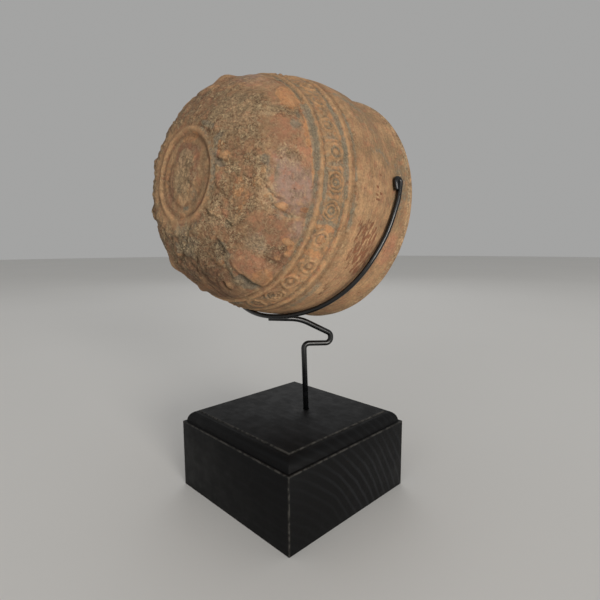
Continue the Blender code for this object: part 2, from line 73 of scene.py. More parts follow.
TOUCH_GAP = 0.3
CRADLE_DIAMETER = 2.3
CRADLE_ARM_FROM_RIM = 6.9
CRADLE_BOTTOM_FROM_RIM = 33.0
CRADLE_TIP_ANGLE = 8.3
CRADLE_STAND_OFF = 1.0
HOOK_GAP = 0.9
HOOK_LEG = 3.6
HOOK_CURL = 0.6
CRADLE_DROP = (
    (-9, 0.0), (0, 0.05), (15, 0.21), (30, 0.43), (45, 0.6), (60, 0.75), (72, 0.9), (90, 1.0),
)
POST_DIAMETER = 2.8
POST_FOOT = (3.6 * MM, 6.35 * MM)
POST_PLANE_TURN = math.radians(60.1)
POST_BEND_INSIDE = 1.2
POST_LEAN = math.radians(1.8)
LOWER_ARM_REACH = 13.2
LOWER_ARM_SLOPE = math.radians(2.5)
LOWER_ARM_BELOW_CRADLE = 15.2
LOOP_OPENING = 2.1
UPPER_ARM_REACH = 21.5
UPPER_ARM_BEND_FROM_POST = 3.0
UPPER_ARM_BEND_BELOW_CRADLE = 2.5
UPPER_ARM_END_BELOW_CRADLE = 1.4
UPPER_ARM_BEND_RADIUS = 22.0
CRADLE_ABOVE_BLOCK = 49.8
SOCKET_DEPTH = 18.0
BLOCK_SIDE = 80.0 * MM
BLOCK_HEIGHT = 40.1 * MM
MOULDING_WIDTH = 6.0 * MM
MOULDING_DROP = 5.7 * MM
LEDGE_WIDTH = 1.5 * MM
TOP_STEP = 0.5 * MM
WORN_EDGE = 0.25 * MM
GRAIN_MIDDLE = (-70.0 * MM, -38.0 * MM)
GRAIN_STEP = 4.2 * MM

# Fineness of the bowl's mesh

COLUMNS = 496
OUTSIDE_ROWS = ((0.0, 22.0, 0.75), (22.0, 83.0, 0.61), (83.0, 119.9, 1.3))
LIP_ROWS = 6
HOLLOW_ROWS = 24
CROWDING = 0.35
NORMAL_REACH = 0.8
MERGE_DISTANCE = 0.000001

# The worn side of the bowl, in degrees, its rings of small leaves and beads, and the plainer
# rosettes of the far side

FRONT_MIDDLE, FRONT_HALF, FRONT_FADE = -8.0, 62, 26
SMALL_LEAVES, FIRST_SMALL_LEAF = 14, 0.7
SMALL_LEAF_ALONG, BEAD_ALONG = 31.5, 25.4
PLAIN_ROSETTES, FIRST_PLAIN_ROSETTE, ROSETTE_STEP = 19, 39.0, 12.6


# Shape helpers


def smooth(share):
    share = np.clip(share, 0.0, 1.0)
    return share * share * (3 - 2 * share)


def bump(distance, width):
    """One in the middle, rounded down to nothing at its width."""
    share = np.clip(np.abs(distance) / width, 0.0, 1.0)
    return np.cos(share * math.pi / 2) ** 2


def lumps(points, size, seed):
    """Smooth noise from -1 to 1 over points, with lumps of one size."""
    at = points / size + np.array((seed * 7.31, seed * 3.77, seed * 5.13))
    cell = np.floor(at).astype(np.int64)
    share = at - cell
    share = share * share * (3 - 2 * share)
    total = np.zeros(points.shape[:-1])
    for corner in range(8):
        step = np.array((corner & 1, corner >> 1 & 1, corner >> 2 & 1))
        key = cell + step
        mixed = key[..., 0] * 73856093 ^ key[..., 1] * 19349663 ^ key[..., 2] * 83492791
        mixed = (mixed ^ mixed >> 13) * 1274126177 & 0xFFFFFFFF
        mixed = (mixed ^ mixed >> 15) * 2246822519 & 0xFFFFFFFF
        value = (mixed >> 8 & 0xFFFF) / 32767.5 - 1
        total += value * np.prod(np.where(step, share, 1 - share), axis=-1)
    return total


def rough(points, size, seed, layers=3):
    """Noise with finer lumps on coarser ones."""
    total = 0.0
    for i in range(layers):
        total = total + lumps(points, size / 2**i, seed + i) * 0.5**i
    return total / (2 - 0.5 ** (layers - 1))


# The bowl's profile


def dome_radius(from_rim, widest, depth):
    share = min((from_rim - BELLY_FROM_RIM) / depth, 1.0)
    return widest * max(1 - share * share, 0.0) ** (1 / DOME_POWER)


def outside_radius(from_rim):
    """The radius of the plain outside: flared rim, neck, belly, dome."""
    if from_rim >= BELLY_FROM_RIM:
        return dome_radius(from_rim, BELLY_RADIUS, DOME_DEPTH)
    if from_rim >= NECK_FROM_RIM:
        share = float(smooth((from_rim - NECK_FROM_RIM) / (BELLY_FROM_RIM - NECK_FROM_RIM)))
        return NECK_RADIUS + (BELLY_RADIUS - NECK_RADIUS) * share
    share = 1 - from_rim / NECK_FROM_RIM
    return NECK_RADIUS + (RIM_RADIUS - NECK_RADIUS) * share**FLARE_POWER


def inside_radius(from_rim):
    """The radius of the hollow, thinner-walled at the lip."""
    if from_rim >= BELLY_FROM_RIM:
        depth = UNDERSIDE_FROM_RIM - FLOOR - BELLY_FROM_RIM
        return dome_radius(from_rim, BELLY_RADIUS - WALL, depth)
    wall = LIP_THICKNESS + (WALL - LIP_THICKNESS) * float(smooth(from_rim / NECK_FROM_RIM))
    return outside_radius(from_rim) - wall


def outside_line():
    """Distance along, radius and distance from the rim, from the underside's middle to the lip."""
    steps = 400
    start = math.asin((UNDERSIDE_FROM_RIM - BELLY_FROM_RIM) / DOME_DEPTH)
    points = [(0.0, UNDERSIDE_FROM_RIM)]
    for i in range(steps):
        from_rim = BELLY_FROM_RIM + DOME_DEPTH * math.sin(start * (1 - i / steps))
        points.append((outside_radius(from_rim), from_rim))
    for i in range(steps + 1):
        from_rim = BELLY_FROM_RIM * (1 - i / steps)
        points.append((outside_radius(from_rim), from_rim))
    line = np.array(points)
    runs = np.hypot(*np.diff(line, axis=0).T)
    along = np.concatenate(((0.0,), np.cumsum(runs)))
    return along, line[:, 0], line[:, 1]


ALONG, ALONG_RADIUS, ALONG_FROM_RIM = outside_line()


def on_line(along):
    """Radius and distance from the rim at distances along the outside."""
    return np.interp(along, ALONG, ALONG_RADIUS), np.interp(along, ALONG, ALONG_FROM_RIM)


def off_outside(along, lift):
    """Radius and distance from the rim of places lifted off the outside along its normal."""
    radius, from_rim = on_line(along)
    high, low = on_line(along + NORMAL_REACH), on_line(along - NORMAL_REACH)
    run, fall = high[0] - low[0], low[1] - high[1]
    length = np.hypot(run, fall)
    return radius + lift * fall / length, from_rim + lift * run / length


def outside_rows():
    rows = []
    for start, end, step in OUTSIDE_ROWS:
        count = round((end - start) / step)
        rows += [start + (end - start) * i / count for i in range(count)]
    return np.array(rows + [ALONG[-1]])


def lip_line():
    half = LIP_THICKNESS / 2
    turns = [math.pi * (i + 1) / (LIP_ROWS + 1) for i in range(LIP_ROWS)]
    return [(RIM_RADIUS - half + half * math.cos(t), -half * math.sin(t) * 0.9) for t in turns]


def hollow_line():
    depth = UNDERSIDE_FROM_RIM - FLOOR - BELLY_FROM_RIM
    upper = HOLLOW_ROWS // 3
    places = [BELLY_FROM_RIM * i / upper for i in range(upper)]
    lower = HOLLOW_ROWS - upper
    for i in range(lower):
        places.append(BELLY_FROM_RIM + depth * math.sin(math.pi / 2 * i / lower))
    line = [(inside_radius(place), place) for place in places]
    return line + [(0.0, UNDERSIDE_FROM_RIM - FLOOR)]


# The outside of the bowl as a grid of places


class Outside:
    """Rows along the outside and columns round it, with distances in millimetres."""

    def __init__(self):
        self.rows = outside_rows()
        even = np.arange(COLUMNS) * 2 * math.pi / COLUMNS
        even = (even + math.pi) % (2 * math.pi) - math.pi
        self.columns = even - CROWDING * np.sin(even)
        shape = (len(self.rows), COLUMNS)
        self.angle = np.broadcast_to(self.columns, shape)
        self.along = np.broadcast_to(self.rows[:, None], shape)
        self.radius = on_line(self.along)[0]
        self.points = self.lifted(0.0)

    def lifted(self, lift):
        """Points lifted off the plain outside along its normal."""
        radius, from_rim = off_outside(self.along, lift)
        radius = np.maximum(radius, 0.0)
        return np.stack((radius * np.cos(self.angle), radius * np.sin(self.angle), from_rim), -1)

    def turn_from(self, angle):
        return (self.angle - math.radians(angle) + math.pi) % (2 * math.pi) - math.pi

    def sector(self, middle, half, sharpness):
        """One about an angle, faded to nothing at half the sector's width from it."""
        return smooth(sharpness * (1 - np.abs(self.turn_from(middle)) / math.radians(half)))

    def zone(self, start, fade_in, end, fade_out):
        """One between two distances along, fading in and out."""
        return smooth((self.along - start) / fade_in) * smooth((end - self.along) / fade_out)

    def from_spot(self, angle, along):
        """How far each place is across and along from a spot."""
        return self.radius * self.turn_from(angle), self.along - along

    def spot(self, angle, along, across, length, turn=0.0):
        """Distance from an oval spot's middle, one at its edge."""
        x, y = self.from_spot(angle, along)
        cosine, sine = math.cos(math.radians(turn)), math.sin(math.radians(turn))
        return np.hypot((x * cosine + y * sine) / across, (y * cosine - x * sine) / length)

    def disc_spot(self, x, y, across, height):
        """Distance from an oval spot's middle on the flat underside, one at its edge."""
        out_x = (self.along * np.cos(self.angle) - x) / across
        out_y = (self.along * np.sin(self.angle) - y) / height
        return np.hypot(out_x, out_y)

    def about_ring(self):
        """Distance from the ring's middle, which isn't quite the bowl's, and the angle about it."""
        fade = smooth((30 - self.along) / 8)
        x = self.along * np.cos(self.angle) - RING_OFF[0] * fade
        y = self.along * np.sin(self.angle) - RING_OFF[1] * fade
        return np.hypot(x, y), np.arctan2(y, x)

    def from_line(self, places):
        """Distance from a line drawn through (angle, along) places."""
        middle = sum(place[0] for place in places) / len(places)
        x, y = self.from_spot(middle, 0.0)
        drawn = [(on_line(s)[0] * math.radians(a - middle), s) for a, s in places]
        nearest = np.full(x.shape, np.inf)
        for (x0, y0), (x1, y1) in zip(drawn, drawn[1:]):
            run, rise = x1 - x0, y1 - y0
            share = np.clip(((x - x0) * run + (y - y0) * rise) / (run * run + rise * rise), 0, 1)
            nearest = np.minimum(nearest, np.hypot(x - x0 - share * run, y - y0 - share * rise))
        return nearest


# The relief, in millimetres off the plain outside

# The long leaves: edges left and right, foot, height, how soft each edge is
LEAVES = (
    (-13.5, 14, 42.5, 0.7, 2, 7), (2, 31, 40.5, 0.6, 7, 6), (35, 56, 41, 0.65, 5, 5),
    (60, 80.5, 39, 0.95, 4, 2.5), (84.5, 104.5, 39, 1.1, 1.6, 1.6),
    (108.5, 128.5, 38.5, 1.15, 1.6, 1.6), (132.5, 152.5, 39, 1.15, 1.5, 1.5),
    (156.5, 176.5, 38, 1.1, 1.5, 1.5), (-179.5, -159.5, 39, 1.15, 1.5, 1.5),
    (-155.5, -135.5, 38.5, 1.15, 1.5, 1.5), (-131.5, -111.5, 38, 1.1, 1.6, 1.6),
    (-107.5, -88, 36.5, 1.05, 2, 2), (-84, -67, 35.5, 0.75, 4.5, 4),
    (-60, -43.5, 41.5, 0.8, 1.6, 6), (-44, -18, 38, 0.6, 7, 3.2),
)


def far_stem(angle, height=0.9):
    """A stem on the far side, where they are all alike."""
    return ((angle, 61), (angle - 0.5, 53), (angle + 1, 45), (angle - 1.5, 39)), 1.3, height


# Stems in the gaps between them, as lines of (angle, along) with half a width and a height
STEMS = (
    (((-19.5, 61), (-17.5, 55), (-15.5, 50), (-12, 45), (-8, 42.3), (-4.5, 40)), 1.4, 0.3),
    (((33, 60), (32.5, 54), (34, 47)), 1.8, 0.15),
    (((-68, 56), (-66, 51), (-63.5, 46.5), (-60.5, 42.5)), 1.5, 0.55),
    (((-87, 61), (-86, 52), (-88, 44), (-84, 38)), 1.6, 0.5),
    (((-109.5, 61), (-109, 52), (-111, 44), (-107, 38)), 1.3, 0.9),
    (((58, 61), (57.5, 53), (59, 46), (56, 41)), 1.8, 0.25),
    far_stem(82.5, 0.8),
    *(far_stem(angle) for angle in (106.5, 130.5, 154.5, 178.5, -157.5, -133.5)),
)

# Knobs: angle, along, half width, half length, height, and a turn where there is one
KNOBS = (
    (-15.5, 49.7, 2, 3.5, 0.8, -22), (-5.5, 39.4, 2.3, 2.1, 0.8, 10),
    (1.6, 41.6, 1.7, 1.4, 0.6), (-11, 33, 4.6, 2.6, 0.55, 5), (-31, 35.5, 2.8, 1.7, 0.7, 15),
    (-62, 39.6, 3.2, 2.5, 1.1, -20), (-71.8, 51, 1.9, 3, 0.9, 25),
    (11.6, 26.8, 3.2, 3.4, 0.9, -25), (-9, 26.2, 4, 3, 0.6, 10), (-36, 27, 4.2, 3.2, 0.6, -10),
    (40, 27.5, 4.2, 3.2, 0.8, 20), (-62, 24, 4, 3.2, 0.7), (-30.5, 57, 1.8, 2.6, 0.7, 10),
    (-36.8, 59.3, 1.4, 1.8, 0.5), (-34, 54.8, 1.1, 1.2, 0.4), (-40.5, 56.5, 1.2, 1.6, 0.4, 20),
    (-43.8, 58.5, 1.2, 1.3, 0.4), (31.5, 52.5, 1.4, 1.8, 0.4), (36, 50, 1.1, 2, 0.35),
    (46, 38.5, 2.8, 2, 0.5, 30), (24, 36, 2.4, 1.8, 0.45, -20),
    (-87.5, 30.5, 2.8, 3.8, 1.1, 15), (-99, 32, 2.8, 2.2, 0.9), (88, 51, 7.4, 6.4, 1.7),
    (-122, 45.5, 6.6, 6, 1.5, 20), (-108, 57, 4.8, 4.4, 1), (-156, 32, 5, 4.4, 0.9),
    (162, 30, 4, 3.8, 1.2),
)

# Cut lines: (angle, along) places, half a width and a depth
CUTS = (
    (((-20.5, 30), (-18, 27), (-14.5, 24), (-11, 22.6)), 0.8, 0.4),
    (((-38.5, 27.5), (-40.5, 25.5), (-41.5, 23.5), (-39.5, 21.5)), 1.3, 0.9),
    (((5.0, 29.5), (6.5, 27), (8, 24.8), (11, 23)), 1.2, 1.0),
    (((34.5, 25.5), (38, 23.2), (42, 22.4), (48, 22.2)), 1.2, 0.5),
    (((44.5, 28), (48.5, 25), (53, 22.5), (60, 21.2)), 1.2, 0.45),
    (((-12.3, 50.5), (-11.5, 47), (-9, 44.5), (-6.5, 42.4), (-3.5, 42)), 0.7, 0.75),
    (((-17.8, 52.6), (-17.3, 49), (-15.4, 46.3)), 0.7, 0.7),
    (((-62.5, 60.0), (-63.0, 56), (-61.4, 51.0)), 2.4, 1.5),
    (((-66, 48.5), (-62, 43), (-58, 38.5), (-54, 36.5), (-53, 33.5)), 1.5, 0.7),
    (((-55, 38), (-53, 34)), 2.6, 0.8),
    (((-50.5, 42), (-47, 45), (-44, 48)), 0.4, 0.35),
    (((-75.3, 53.5), (-74.6, 50.8), (-73.4, 48.4)), 1.0, 1.3),
    (((-9, 41.5), (-8.6, 38.5)), 0.35, 0.4),
    (((-36.8, 34.6), (-36, 32.4)), 1.2, 1.4),
    (((-63, 19.8), (-80, 25), (-92, 31.5), (-104, 37.4)), 0.9, 0.7),
    (((-72, 31), (-81, 35.5), (-88, 41)), 0.7, 0.5),
    (((-67, 34), (-76, 39), (-83, 45)), 0.7, 0.45),
    (((-70, 43), (-77, 47), (-82, 52)), 0.7, 0.4),
    (((18, 33.5), (23, 31.5), (29, 32.5)), 0.5, 0.4),
    (((-28, 44.5), (-23, 41.5), (-19, 41)), 0.5, 0.3),
    (((-44, 58.5), (-43, 56), (-41.5, 53)), 1.8, 0.4),
    (((6.6, 52), (7.4, 54.4), (9.3, 54.8), (10.8, 53.6), (11.2, 51.6), (9.6, 49.6)), 0.5, 0.35),
)


def on_front(wall):
    """One on the worn side, which faces the post's bend, and nothing on the far side."""
    off = np.abs(wall.turn_from(FRONT_MIDDLE))
    return 1 - smooth((off - math.radians(FRONT_HALF)) / math.radians(FRONT_FADE))


def medallion(wall):
    """The ringed underside: a worn boss in a shallow dish."""
    along, angle = wall.about_ring()
    worn = rough(wall.points, 5.0, 3)
    low = smooth(0.5 - np.sin(angle + 0.5))
    right = smooth(0.6 + np.cos(angle - 0.2))
    kept = 1 - 0.75 * wall.sector(-84.0, 34, 1.6)
    dish = -0.25 * smooth((RING - along) / 1.6)
    boss = 0.9 * smooth((BOSS_RADIUS + 2.4 - along) / 6.5) - 0.35 * smooth((5.5 - along) / 3.5)
    petals = 0.5 + 0.5 * np.cos(8 * angle + 1.5 * worn)
    boss -= 0.22 * petals * bump(along - 6.5, 4.5) * (0.6 + worn)
    ring = 0.9 * kept * bump(along - RING, 1.8) * (1 + 0.35 * worn)
    cut = (0.05 + 0.18 * right) * bump(along - 16.4, 0.7)
    cut = cut + 0.12 * low * bump(along - BOSS_RADIUS - 1.8, 1.2)
    faint = 0.28 * low * bump(along - 14.6, 1.0) + 0.25 * low * bump(along - 10.0, 0.8)
    faint += 0.22 * low * bump(along - 7.8, 0.7)
    grain = 0.45 * rough(wall.points, 1.7, 5) * smooth((12.5 - along) / 3)
    return dish + boss + ring - cut + faint + grain


def leaves(wall):
    """Long smooth leaves, worn into the ground that they lie on."""
    ragged = rough(wall.points, 3.2, 11)
    ground = wall.zone(22.0, 5, 61.8, 2.2)
    ground *= 1.1 - 0.6 * on_front(wall)
    relief = np.zeros(wall.along.shape)
    for left, right, foot, height, soft_left, soft_right in LEAVES:
        half = (right - left) / 2
        x, y = wall.from_spot(left + half, foot)
        widest = np.radians(half) * wall.radius
        narrow = 0.4 + 0.6 * smooth((y + 2.5) / 8.0)
        softness = np.where(x < 0, soft_left, soft_right)
        edge = widest * narrow - np.abs(x) + 0.7 * ragged
        foot_edge = y + 2.5 + 1.2 * ragged
        leaf = smooth(edge / softness + 0.35) * smooth(foot_edge / 5.5)
        leaf *= smooth((61.6 - wall.along) / 1.6 + 0.3)
        swell = 1 - 0.25 * np.clip(x / np.maximum(widest, 0.1), -1, 1) ** 2
        relief = np.maximum(relief, leaf * height * swell)
    return relief - ground


def small_leaves(wall):
    """The short inner leaves, their beads and the arcs round them, nearly worn away in front."""
    kept = (0.7 - 0.45 * on_front(wall)) * np.clip(1 + 0.7 * rough(wall.points, 9.0, 37), 0.3, 1.5)
    relief = np.zeros(wall.along.shape)
    for i in range(SMALL_LEAVES):
        middle = FIRST_SMALL_LEAF + 360 / SMALL_LEAVES * i
        x, y = wall.from_spot(middle, SMALL_LEAF_ALONG)
        width = 3.6 * np.sqrt(np.clip(1 - (y / 6.5) ** 2, 0.0, 1.0)) * (1 - 0.05 * y)
        leaf = smooth((width - np.abs(x)) / 2.0) * 0.7 - 0.2 * bump(x, 0.7) * (np.abs(y) < 5)
        relief = np.maximum(relief, leaf)
        bead = middle + 180 / SMALL_LEAVES
        reach = wall.spot(bead, BEAD_ALONG, 3.2, 3.0)
        relief = np.maximum(relief, 0.8 * bump(reach, 1.0))
        x, y = wall.from_spot(bead, BEAD_ALONG)
        lower = smooth(0.6 - (x * 0.7 + y * 0.7) / 3)
        relief -= 0.35 * bump(np.hypot(x, y) - 3.9, 0.9) * lower
    return relief * kept


def line_ridge(wall, along, width, height, seed):
    """A ridge round the bowl, worn unevenly."""
    wander = 0.25 * lumps(wall.points, 14.0, seed)
    worn = 0.8 + 0.28 * rough(wall.points, 6.0, seed + 1)
    return height * worn * bump(wall.along - along - wander, width)


def rosette(wall, angle, along, size, kind, height):
    """One rosette: a ring and a knob, a doubled ring, a spiral or an oval."""
    x, y = wall.from_spot(angle, along)
    reach = np.hypot(x, y * (0.82 if kind == "oval" else 1.0))
    reach = reach + 0.3 * lumps(wall.points, 2.3, 39)
    around = np.arctan2(y, x)
    ring = size * 0.74
    if kind == "spiral":
        ring = size * (0.48 + 0.11 * (around + math.pi) / math.pi * 2)
    form = bump(reach - ring, size * 0.24)
    if kind == "double":
        form = bump(reach - size * 0.84, size * 0.17) + bump(reach - size * 0.5, size * 0.14)
    knob = bump(reach, size * (0.24 if kind == "double" else 0.4))
    if kind == "petals":
        knob = bump(reach - size * 0.25, size * 0.3) * (0.45 + 0.55 * np.cos(3 * around + 0.5) ** 2)
    seat = smooth((size * 1.12 - reach) / (size * 0.2)) * 0.25
    return 1.2 * height * (form + knob) - seat * height


ROSETTES = (
    (26, 69.6, 4, "plain", 0.5), (13.4, 70.9, 4.2, "plain", 0.55),
    (0.2, 70.5, 4.4, "double", 0.95), (-12, 70.5, 4.3, "double", 0.9),
    (-25, 70, 4.3, "petals", 0.5), (-38.8, 71.3, 4.2, "plain", 0.6),
    (-50.2, 68.8, 4.6, "plain", 0.75), (-62.2, 69.6, 5, "double", 0.75),
    (-76, 69.5, 4.8, "oval", 0.65), (-88.5, 69.5, 4.8, "double", 0.6),
)


def rosette_band(wall):
    """The slightly sunk band of rosettes between its two ridges and their grooves."""
    sunk = smooth((wall.along - INNER_RIDGE) / 5 + 1.5)
    sunk = sunk * smooth((OUTER_RIDGE - wall.along) / 5 + 1.5)
    relief = -0.75 * sunk
    relief += line_ridge(wall, INNER_RIDGE, 1.3, 0.75, 21)
    relief += line_ridge(wall, OUTER_RIDGE, 1.7, 0.8, 24)
    relief += line_ridge(wall, 82.8, 0.9, 0.12, 27)
    grooves = ((61.7, 1.2, 0.5), (66.0, 1.0, 0.25), (75.4, 1.0, 0.3), (80.7, 1.1, 0.26))
    for along, width, depth in grooves:
        relief -= line_ridge(wall, along, width, depth, int(along))
    chance = np.random.default_rng(12)
    rosettes = list(ROSETTES)
    for i in range(PLAIN_ROSETTES):
        kind = ("plain", "plain", "double", "petals", "spiral")[chance.integers(5)]
        angle = FIRST_PLAIN_ROSETTE + ROSETTE_STEP * i + chance.uniform(-0.8, 0.8)
        along = BAND_MIDDLE + chance.uniform(-0.7, 0.7)
        size, height = chance.uniform(4.0, 4.5), chance.uniform(0.45, 0.75)
        rosettes.append((angle, along, size, kind, height))
    faded = np.clip(0.95 + 0.6 * rough(wall.points, 4.5, 33), 0.3, 1.3)
    for place in rosettes:
        relief += faded * rosette(wall, *place)
    return relief


def lines_and_knobs(wall):
    relief = np.zeros(wall.along.shape)
    wander = 0.4 * rough(wall.points, 2.4, 31)
    for places, half, height in STEMS:
        relief = np.maximum(relief, height * bump(wall.from_line(places) + wander, half * 1.25))
    for angle, along, across, length, height, *turn in KNOBS:
        reach = wall.spot(angle, along, across, length, *turn) + wander * 0.22
        form = height * smooth(1.35 * (1 - reach)) if height < 1.35 else height * bump(reach, 1.0)
        relief = np.maximum(relief, form)
    for places, half, depth in CUTS:
        relief -= depth * bump(wall.from_line(places) + wander * 0.5, half)
    return relief


# Rough places: angle, along, half across, half long, how rough
ROUGH_SPOTS = (
    (-38, 55, 7.5, 6.5, 1), (-37, 46, 5, 5, 0.7), (45, 44, 10, 9, 0.8), (22, 38, 9, 6, 0.6),
    (10, 50, 3.5, 6, 0.7), (33, 53, 4, 8, 0.9), (-76, 42, 9, 9, 0.9), (-100, 44, 12, 10, 0.8),
    (70, 45, 12, 10, 0.7), (-10, 40, 9, 3.5, 0.6),
)


def roughness_of(wall):
    """How rough each place is: smooth leaves and rim, rough ground, most between the leaves."""
    broken = 0.75 - 0.22 * on_front(wall) + 0.25 * rough(wall.points, 7.0, 29)
    zone = 0.32 + broken * smooth((wall.along - 20) / 3) * smooth((44 - wall.along) / 6)
    for *place, amount in ROUGH_SPOTS:
        zone = np.maximum(zone, amount * smooth(2 * (1 - wall.spot(*place))))
    disc = smooth(1.6 * (1 - wall.disc_spot(3.0, 1.0, 8.5, 12.0)))
    zone = np.maximum(zone, disc * (wall.along < 24))
    rim = smooth((wall.along - 82) / 3)
    return zone * (1 - 0.75 * rim)


def worn_surface(wall):
    """Crust, pitting, scuffs and the hand-made unevenness of the wall."""
    amount = roughness_of(wall)
    fine = rough(wall.points, 1.5, 41, 2)
    coarse = rough(wall.points, 3.8, 45, 3)
    creased = 1 - 2 * np.abs(lumps(wall.points, 2.1, 52))
    crumbs = np.clip(lumps(wall.points, 1.35, 57) - 0.3, 0, 1)
    pits = np.clip(lumps(wall.points, 1.7, 49) - 0.42, 0, 1)
    relief = amount * (0.2 * fine + 0.36 * coarse + 0.2 * creased + 0.5 * crumbs)
    relief -= 0.7 * pits * (0.2 + 0.6 * amount)
    wheel = np.stack((wall.along, 2 * np.cos(wall.angle), 2 * np.sin(wall.angle)), -1)
    turned = 0.07 * lumps(wheel, 1.6, 61) * smooth((wall.along - 83) / 3)
    return relief + turned + 0.3 * lumps(wall.points, 26.0, 71)


def relief(wall):
    """The whole relief as one height, which the finish also reads."""
    inner = smooth((wall.about_ring()[0] - 20.6) / 1.8)
    form = medallion(wall) * (1 - inner)
    form += inner * (leaves(wall) + rosette_band(wall))
    outer = wall.zone(20.5, 1.5, 62.5, 1.5)
    form += outer * (small_leaves(wall) * smooth((38.5 - wall.along) / 3) + lines_and_knobs(wall))
    return form + worn_surface(wall) * smooth(wall.along / 1.5)


def blurred(grid, rows, columns):
    """A grid averaged over some rows and some columns."""
    total = np.zeros(grid.shape)
    for step in range(-columns, columns + 1):
        total += np.roll(grid, step, axis=1)
    total /= 2 * columns + 1
    padded = np.pad(total, ((rows, rows), (0, 0)), mode="edge")
    return sum(padded[i : i + len(grid)] for i in range(2 * rows + 1)) / (2 * rows + 1)


# Where the colours of the clay, its slip and its crust lie: angle, along, half across, half long,
# strength, and a turn where there is one

MAUVE = (
    (-5, 53.5, 9.5, 8.5, 1), (-9, 58, 5, 3.4, 0.9), (-23.5, 58.5, 4.6, 3.4, 0.75),
    (4, 49.5, 6.5, 5, 0.75), (-37.5, 47, 3.6, 5, 0.45), (68, 52, 7, 6, 0.6),
    (142, 52, 8, 7, 0.8), (-170, 50, 7, 8, 0.7), (-122, 55, 5, 5, 0.5),
)
SALMON = (
    (-52, 50.5, 7.5, 10, 0.95, -8), (9, 57.6, 4.8, 2.8, 1, 10), (13, 55.6, 2.8, 1.6, 0.9),
    (-4, 44.6, 3, 0.9, 0.9, 10), (24, 52, 5, 5, 0.5), (-35, 31, 4.5, 1.2, 0.8, -10),
    (-8, 24.4, 3, 1.4, 0.8), (13, 23.6, 3.2, 1.3, 0.8), (41, 27, 3, 1.3, 0.8, 10),
    (-50, 23, 5, 2.6, 0.5), (-24, 114, 8, 3.6, 0.9), (-60, 66, 5, 3, 0.5), (-45, 57, 3, 3, 0.4),
    (-77, 72, 5, 3, 0.5), (110, 60, 7, 3, 0.7), (-150, 57, 6, 4, 0.7), (175, 45, 5, 3, 0.6),
    (120, 112, 12, 4, 0.6),
)
ORANGE = (
    (-54, 57, 6, 4.5, 0.6, -10), (-56, 60, 6, 2.2, 0.8), (-32, 59, 2, 1.3, 1),
    (-30.5, 57, 1.5, 2.4, 1, 10), (-35.6, 59.3, 1, 1.8, 1), (-40, 56.5, 1, 1.5, 0.8, 20),
    (-15.6, 49.8, 1.7, 3, 1, -22), (-11.6, 44.6, 0.9, 2.2, 0.9, -20),
    (-5.5, 39.4, 2.1, 2, 1, 10), (1.6, 41.6, 1.5, 1.2, 1), (-14.2, 60, 0.9, 2.6, 1),
    (8, 60.4, 8, 0.9, 1), (22, 60.2, 8, 1, 1), (15.5, 59, 1.7, 1.5, 1),
    (22, 58.6, 3.2, 1, 0.95, 10), (42, 57, 7.5, 4.6, 1, 10), (36, 61, 5, 2, 0.9),
    (-19.5, 70, 1.5, 4.6, 0.9), (-32, 70, 1.5, 4.6, 0.9), (-6, 70.5, 1.1, 4, 0.6),
    (6.5, 70, 1.2, 3.6, 0.6), (19.5, 71, 1.3, 3.6, 0.6), (-25, 70, 1.8, 1.6, 0.9),
    (31, 74, 1.8, 2.6, 0.9), (-44, 66, 4, 3, 0.6), (-11, 33, 4.4, 2.2, 0.8, 5),
    (-26, 35.5, 3, 1.3, 0.6), (11.6, 26.6, 2.4, 2.6, 1, -20), (20, 25.5, 3.4, 1.8, 0.6),
    (-62, 39.6, 2.6, 1.9, 1, -20), (-72, 51, 1.7, 2.8, 0.6, 25), (-16, 36.5, 4, 1.2, 0.5),
    (95, 55, 7, 5, 0.8), (165, 56, 6, 5, 0.8), (-140, 52, 6, 7, 0.7), (-95, 50, 5, 4, 0.6),
)
BROWN = (
    (-30, 50, 8, 9, 0.75), (-38, 55.5, 6.5, 4.5, 1), (-40, 60.3, 6, 1.2, 0.8),
    (-21, 48, 4, 6, 0.5), (21, 50, 8, 8, 0.7), (22, 56, 4, 2.2, 0.7), (-75, 45, 9, 8, 0.8),
    (-100, 42, 10, 8, 0.7), (30, 36, 8, 5, 0.5), (60, 48, 6, 8, 0.5), (118, 50, 8, 8, 0.8),
    (-158, 46, 6, 7, 0.7), (152, 42, 8, 6, 0.6), (90, 12, 6.5, 3.2, 0.9),
    (40, 9.5, 4, 3.6, 0.9), (18, 8, 2.6, 3, 0.8), (85, 98, 14, 7, 0.5),
)
OLIVE = (
    (46, 43, 10, 8, 0.9), (30, 42, 8, 5, 0.7), (-23, 39.6, 5, 1.6, 0.8), (0, 30, 6, 4, 0.8),
    (25, 31, 8, 5, 0.8), (60, 33, 9, 8, 0.8), (-36, 45, 4, 5, 0.7), (-18, 24, 4, 3, 0.8),
    (-60, 27, 6, 4, 0.6), (-85, 26, 8, 6, 0.7), (20, 100, 7, 9, 1, 10),
    (36, 96, 9, 12, 1.2, 15), (52, 102, 12, 15, 1.2), (12, 113, 24, 5, 1.3),
    (-78, 90, 9, 8, 0.6), (-62, 83, 14, 2.6, 0.6), (130, 95, 14, 10, 0.6),
    (-140, 100, 16, 9, 0.6), (180, 32, 12, 8, 0.7), (110, 30, 12, 8, 0.7),
    (5, 13.5, 2.2, 3.2, 0.5), (-90, 14.5, 6, 2, 0.6),
)
